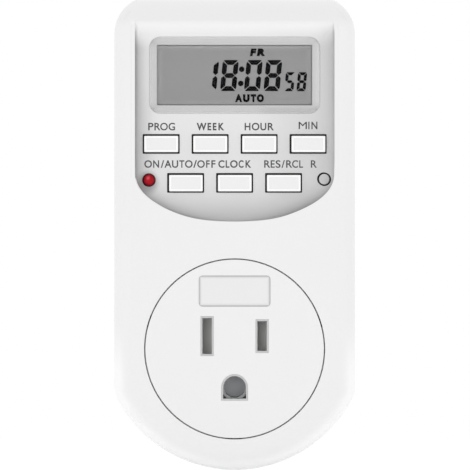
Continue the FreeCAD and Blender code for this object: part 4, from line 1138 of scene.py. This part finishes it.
# How far each cap lies off the middle of its opening along X and Z, and what it is
# narrower and lower by.
cap_fits = {
    "program": (0.01, -0.02, 0.0, 0.12),
    "week": (0.035, -0.02, 0.02, 0.12),
    "hour": (0.05, -0.02, 0.0, 0.12),
    "minute": (0.085, -0.02, 0.06, 0.12),
    "mode": (0.065, -0.07, 0.1, 0.08),
    "clock": (0.04, -0.07, 0.08, 0.08),
    "recall": (0.05, -0.07, 0.07, 0.08),
}
for word in key_words:
    node = "key_" + word
    off_x, off_z, less_x, less_z = cap_fits[word]
    low, high = node_box(node)
    low += (off_x + less_x / 2, 0, off_z + less_z / 2)
    high += (off_x - less_x / 2, 0, off_z - less_z / 2)
    top = low[1]
    shoulder = high[1] - key_flange
    edge = [
        (key_side + key_round + dx, top + key_round + dy)
        for dx, dy in arc((0, 0), key_round, -90, -180, 5)
    ]
    profile = [
        (key_side + key_rim + key_floor, top + key_dish + 0.02),
        (key_side + key_rim + 0.1, top + key_dish),
        (key_side + key_rim + 0.03, top + key_dish - 0.02),
        (key_side + key_rim, top + 0.02),
        (key_side + key_rim - 0.03, top),
        *edge,
        (key_side, shoulder),
        (0.0, shoulder),
        (0.0, high[1]),
        (key_side + key_rim, high[1]),
    ]
    cap = lofted("cap_" + word, padded_profile(low, high, key_corner + key_side, profile), crease=35)
    settle(cap, key_finish, node + "_body", node, slot="key_white")


# Reset button
# A small grey pin in the panel, pressed with a pen. Its sides are painted dark as shade,
# like the gap round it, and it lies a little off the middle of its hole.

reset_low, reset_high = node_box("reset_button")
reset_x = (reset_low[0] + reset_high[0]) / 2 + 0.12
reset_z = (reset_low[2] + reset_high[2]) / 2 - 0.05
reset_radius = 1.22
reset_core = 0.5
reset_round = 0.08
reset_flange = 1.9
reset_neck = reset_low[1] + reset_round
reset_shoulder = reset_high[1] - key_flange
reset_rings = [round_ring(reset_x, reset_z, reset_core, reset_low[1] + 0.04)]
reset_rings += [
    round_ring(reset_x, reset_z, radius, reset_neck + y)
    for radius, y in arc((reset_radius - reset_round, 0), reset_round, -90, 0, 5)
]
reset_rings += [
    round_ring(reset_x, reset_z, radius, y) for radius, y in (
        (reset_radius, reset_shoulder),
        (reset_flange, reset_shoulder),
        (reset_flange, reset_high[1]),
        (reset_core, reset_high[1]),
    )
]
reset = lofted("reset_pin", reset_rings, crease=35)
reset_finish = moulded("reset_plastic", paint(200, 200, 200), 0.4)
# Painted shade: the pin's sides are dark.
reset_side_shade = reset_finish.step(reset_finish.axes()[1], reset_neck, reset_neck + 0.08)
reset_finish.feed(reset_finish.shader, {
    "Base Color": reset_finish.mix(reset_side_shade, paint(200, 200, 200), paint(16, 16, 16)),
})
settle(reset, reset_finish, "reset_button_body", "reset_button", slot="panel_grey")


# Indicator lamp
# A red light-emitting diode: a domed epoxy body with a rim, on two square legs that go
# through the board.

lamp_low, lamp_high = node_box("indicator_lamp")
lamp_radius = 1.53
lamp_rim = 1.8
lamp_tip = lamp_low[1]
lamp_base = lamp_tip + 5.3
lamp_shoulder = lamp_base - 0.9
lamp_leg = 0.25
glint_x = lamp_x - 0.2
glint_z = lamp_z + 0.45
lamp_rings = [
    round_ring(lamp_x, lamp_z, radius, lamp_tip + lamp_radius + y)
    for radius, y in arc((0, 0), lamp_radius, -86, 0, 14)
]
lamp_rings += [
    round_ring(lamp_x, lamp_z, radius, y) for radius, y in (
        (lamp_radius, lamp_shoulder),
        (lamp_rim, lamp_shoulder),
        (lamp_rim, lamp_base),
        (0.2, lamp_base),
    )
]
epoxy = Finish("lamp_epoxy", paint(170, 36, 45), 0.25, Specular_IOR_Level=0.1)
epoxy_x, _, epoxy_z = epoxy.axes()
epoxy_reach = reach(epoxy_x - lamp_x, epoxy_z - lamp_z)
glint_reach = reach(epoxy_x - glint_x, epoxy_z - glint_z)
# Painted light and shade: a painted highlight above and to the left, painted shade towards the rim,
# and a pale pink painted glow at the very edge.
epoxy_cloud = epoxy.noise(0.9 * mm)
epoxy_red = epoxy.mix(epoxy_cloud, paint(140, 4, 16), paint(190, 30, 44))
epoxy_highlight = epoxy.mix(epoxy.step(glint_reach, 0.65, 0.1), epoxy_red, paint(214, 74, 84))
epoxy.feed(epoxy.shader, {
    "Base Color": epoxy.mix(
        epoxy.step(epoxy_reach, 1.44, 1.53),
        epoxy.mix(epoxy.step(epoxy_reach, 0.85, 1.4), epoxy_highlight, paint(96, 10, 24)),
        paint(190, 120, 124),
    ),
})
settle(lofted("lamp_lens", lamp_rings), epoxy, "case", "indicator_lamp", slot="lamp_red")


tinned = metal("tinned_wire", paint(196, 196, 198), 0.3)
leg_corners = ((-1, -1), (1, -1), (1, 1), (-1, 1))
legs = [
    [(lamp_x + leg + x * lamp_leg, lamp_z + z * lamp_leg) for x, z in leg_corners]
    for leg in (-1, 1)
]
settle(prisms("lamp_legs", legs, lamp_base, lamp_high[1]), tinned, "case")


# Printed words
# Thin grey words over the keys say what each one does. They are pad printed, one thin
# layer of ink that follows the panel where it rises at its sides.

cove_start = 19.9
cove_radius = 3.4
print_front = panel_y - 0.012
print_rear = panel_y + 0.02
print_ink = Finish("print_ink", paint(84, 84, 86), 0.6)
print_cloud = print_ink.noise(0.3 * mm)
print_x, _, print_z = print_ink.axes()
# The ink is denser on the letter M, whose strokes are thin.
print_dense = print_ink.step(abs(print_x - 15.75), 1.1, 1.0) * print_ink.step(print_z, 47.0, 47.4)
print_grey = print_ink.mix(print_cloud, paint(68, 68, 70), paint(78, 78, 80))
print_ink.feed(print_ink.shader, {
    "Base Color": print_ink.mix(print_dense, print_grey, paint(34, 34, 36)),
})
# Each word, the height of its foot, its capital height, how much bolder than the font
# it is, and each letter's span along X.
panel_words = {
    "word_program": ("PROG", 47.55, 1.72, 0.014, [
        (-19.98, -18.76), (-18.54, -17.15), (-17.21, -15.44), (-15.28, -13.77),
    ]),
    "word_week": ("WEEK", 47.55, 1.72, 0.034, [
        (-8.78, -6.48), (-6.26, -5.41), (-5.04, -4.19), (-3.74, -2.41),
    ]),
    "word_hour": ("HOUR", 47.55, 1.72, 0.02, [
        (2.32, 3.66), (3.96, 5.74), (5.96, 7.33), (7.67, 9.07),
    ]),
    "word_minute": ("MIN", 47.8, 1.74, 0.02, [(14.81, 16.7), (17.04, 17.31), (17.76, 19.14)]),
    "word_mode": ("ON/AUTO/OFF", 38.90, 1.72, 0.018, [
        (-20.87, -19.11), (-18.83, -17.46), (-17.07, -16.28), (-16.22, -14.59),
        (-14.47, -13.05), (-12.79, -11.61), (-11.47, -9.71), (-9.56, -8.72),
        (-8.65, -6.89), (-6.58, -5.77), (-5.38, -4.43),
    ]),
    "word_clock": ("CLOCK", 38.90, 1.72, 0.022, [
        (-3.77, -2.34), (-2.06, -1.2), (-1.05, 0.71), (0.91, 2.07), (2.52, 3.83),
    ]),
    "word_recall": ("RES/RCL", 38.90, 1.72, 0.014, [
        (6.84, 8.24), (8.33, 9.28), (9.49, 10.62), (10.84, 11.62), (11.91, 13.33),
        (13.29, 14.67), (14.94, 15.82),
    ]),
    "word_reset": ("R", 38.90, 1.72, 0.012, [(17.63, 19.01)]),
}


def cove_rise(x):
    """How far the panel comes forward near its sides: a cove of one radius rises from its
    flat floor, by the radius less the square root of radius² - (|x| - floor half width)²."""
    run = np.clip(np.abs(x) - cove_start, 0, cove_radius)
    return cove_radius - np.sqrt(cove_radius ** 2 - run ** 2)


for name, (word, base_z, cap_height, weight, spans) in panel_words.items():
    piece = lettering(
        name, word, spans, base_z, cap_height, print_front, print_rear, weight, rise=cove_rise
    )
    settle(piece, print_ink, "case")


# Screws
# Zinc-plated pan head screws with a cross recess. Those of the case sit deep in the
# rear shell.

zinc = metal("zinc_plate", paint(186, 188, 192), 0.32)
dress(zinc, "case_screws", "control_screws", "power_screws", "block_screws", "retainer_screws")


low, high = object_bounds()
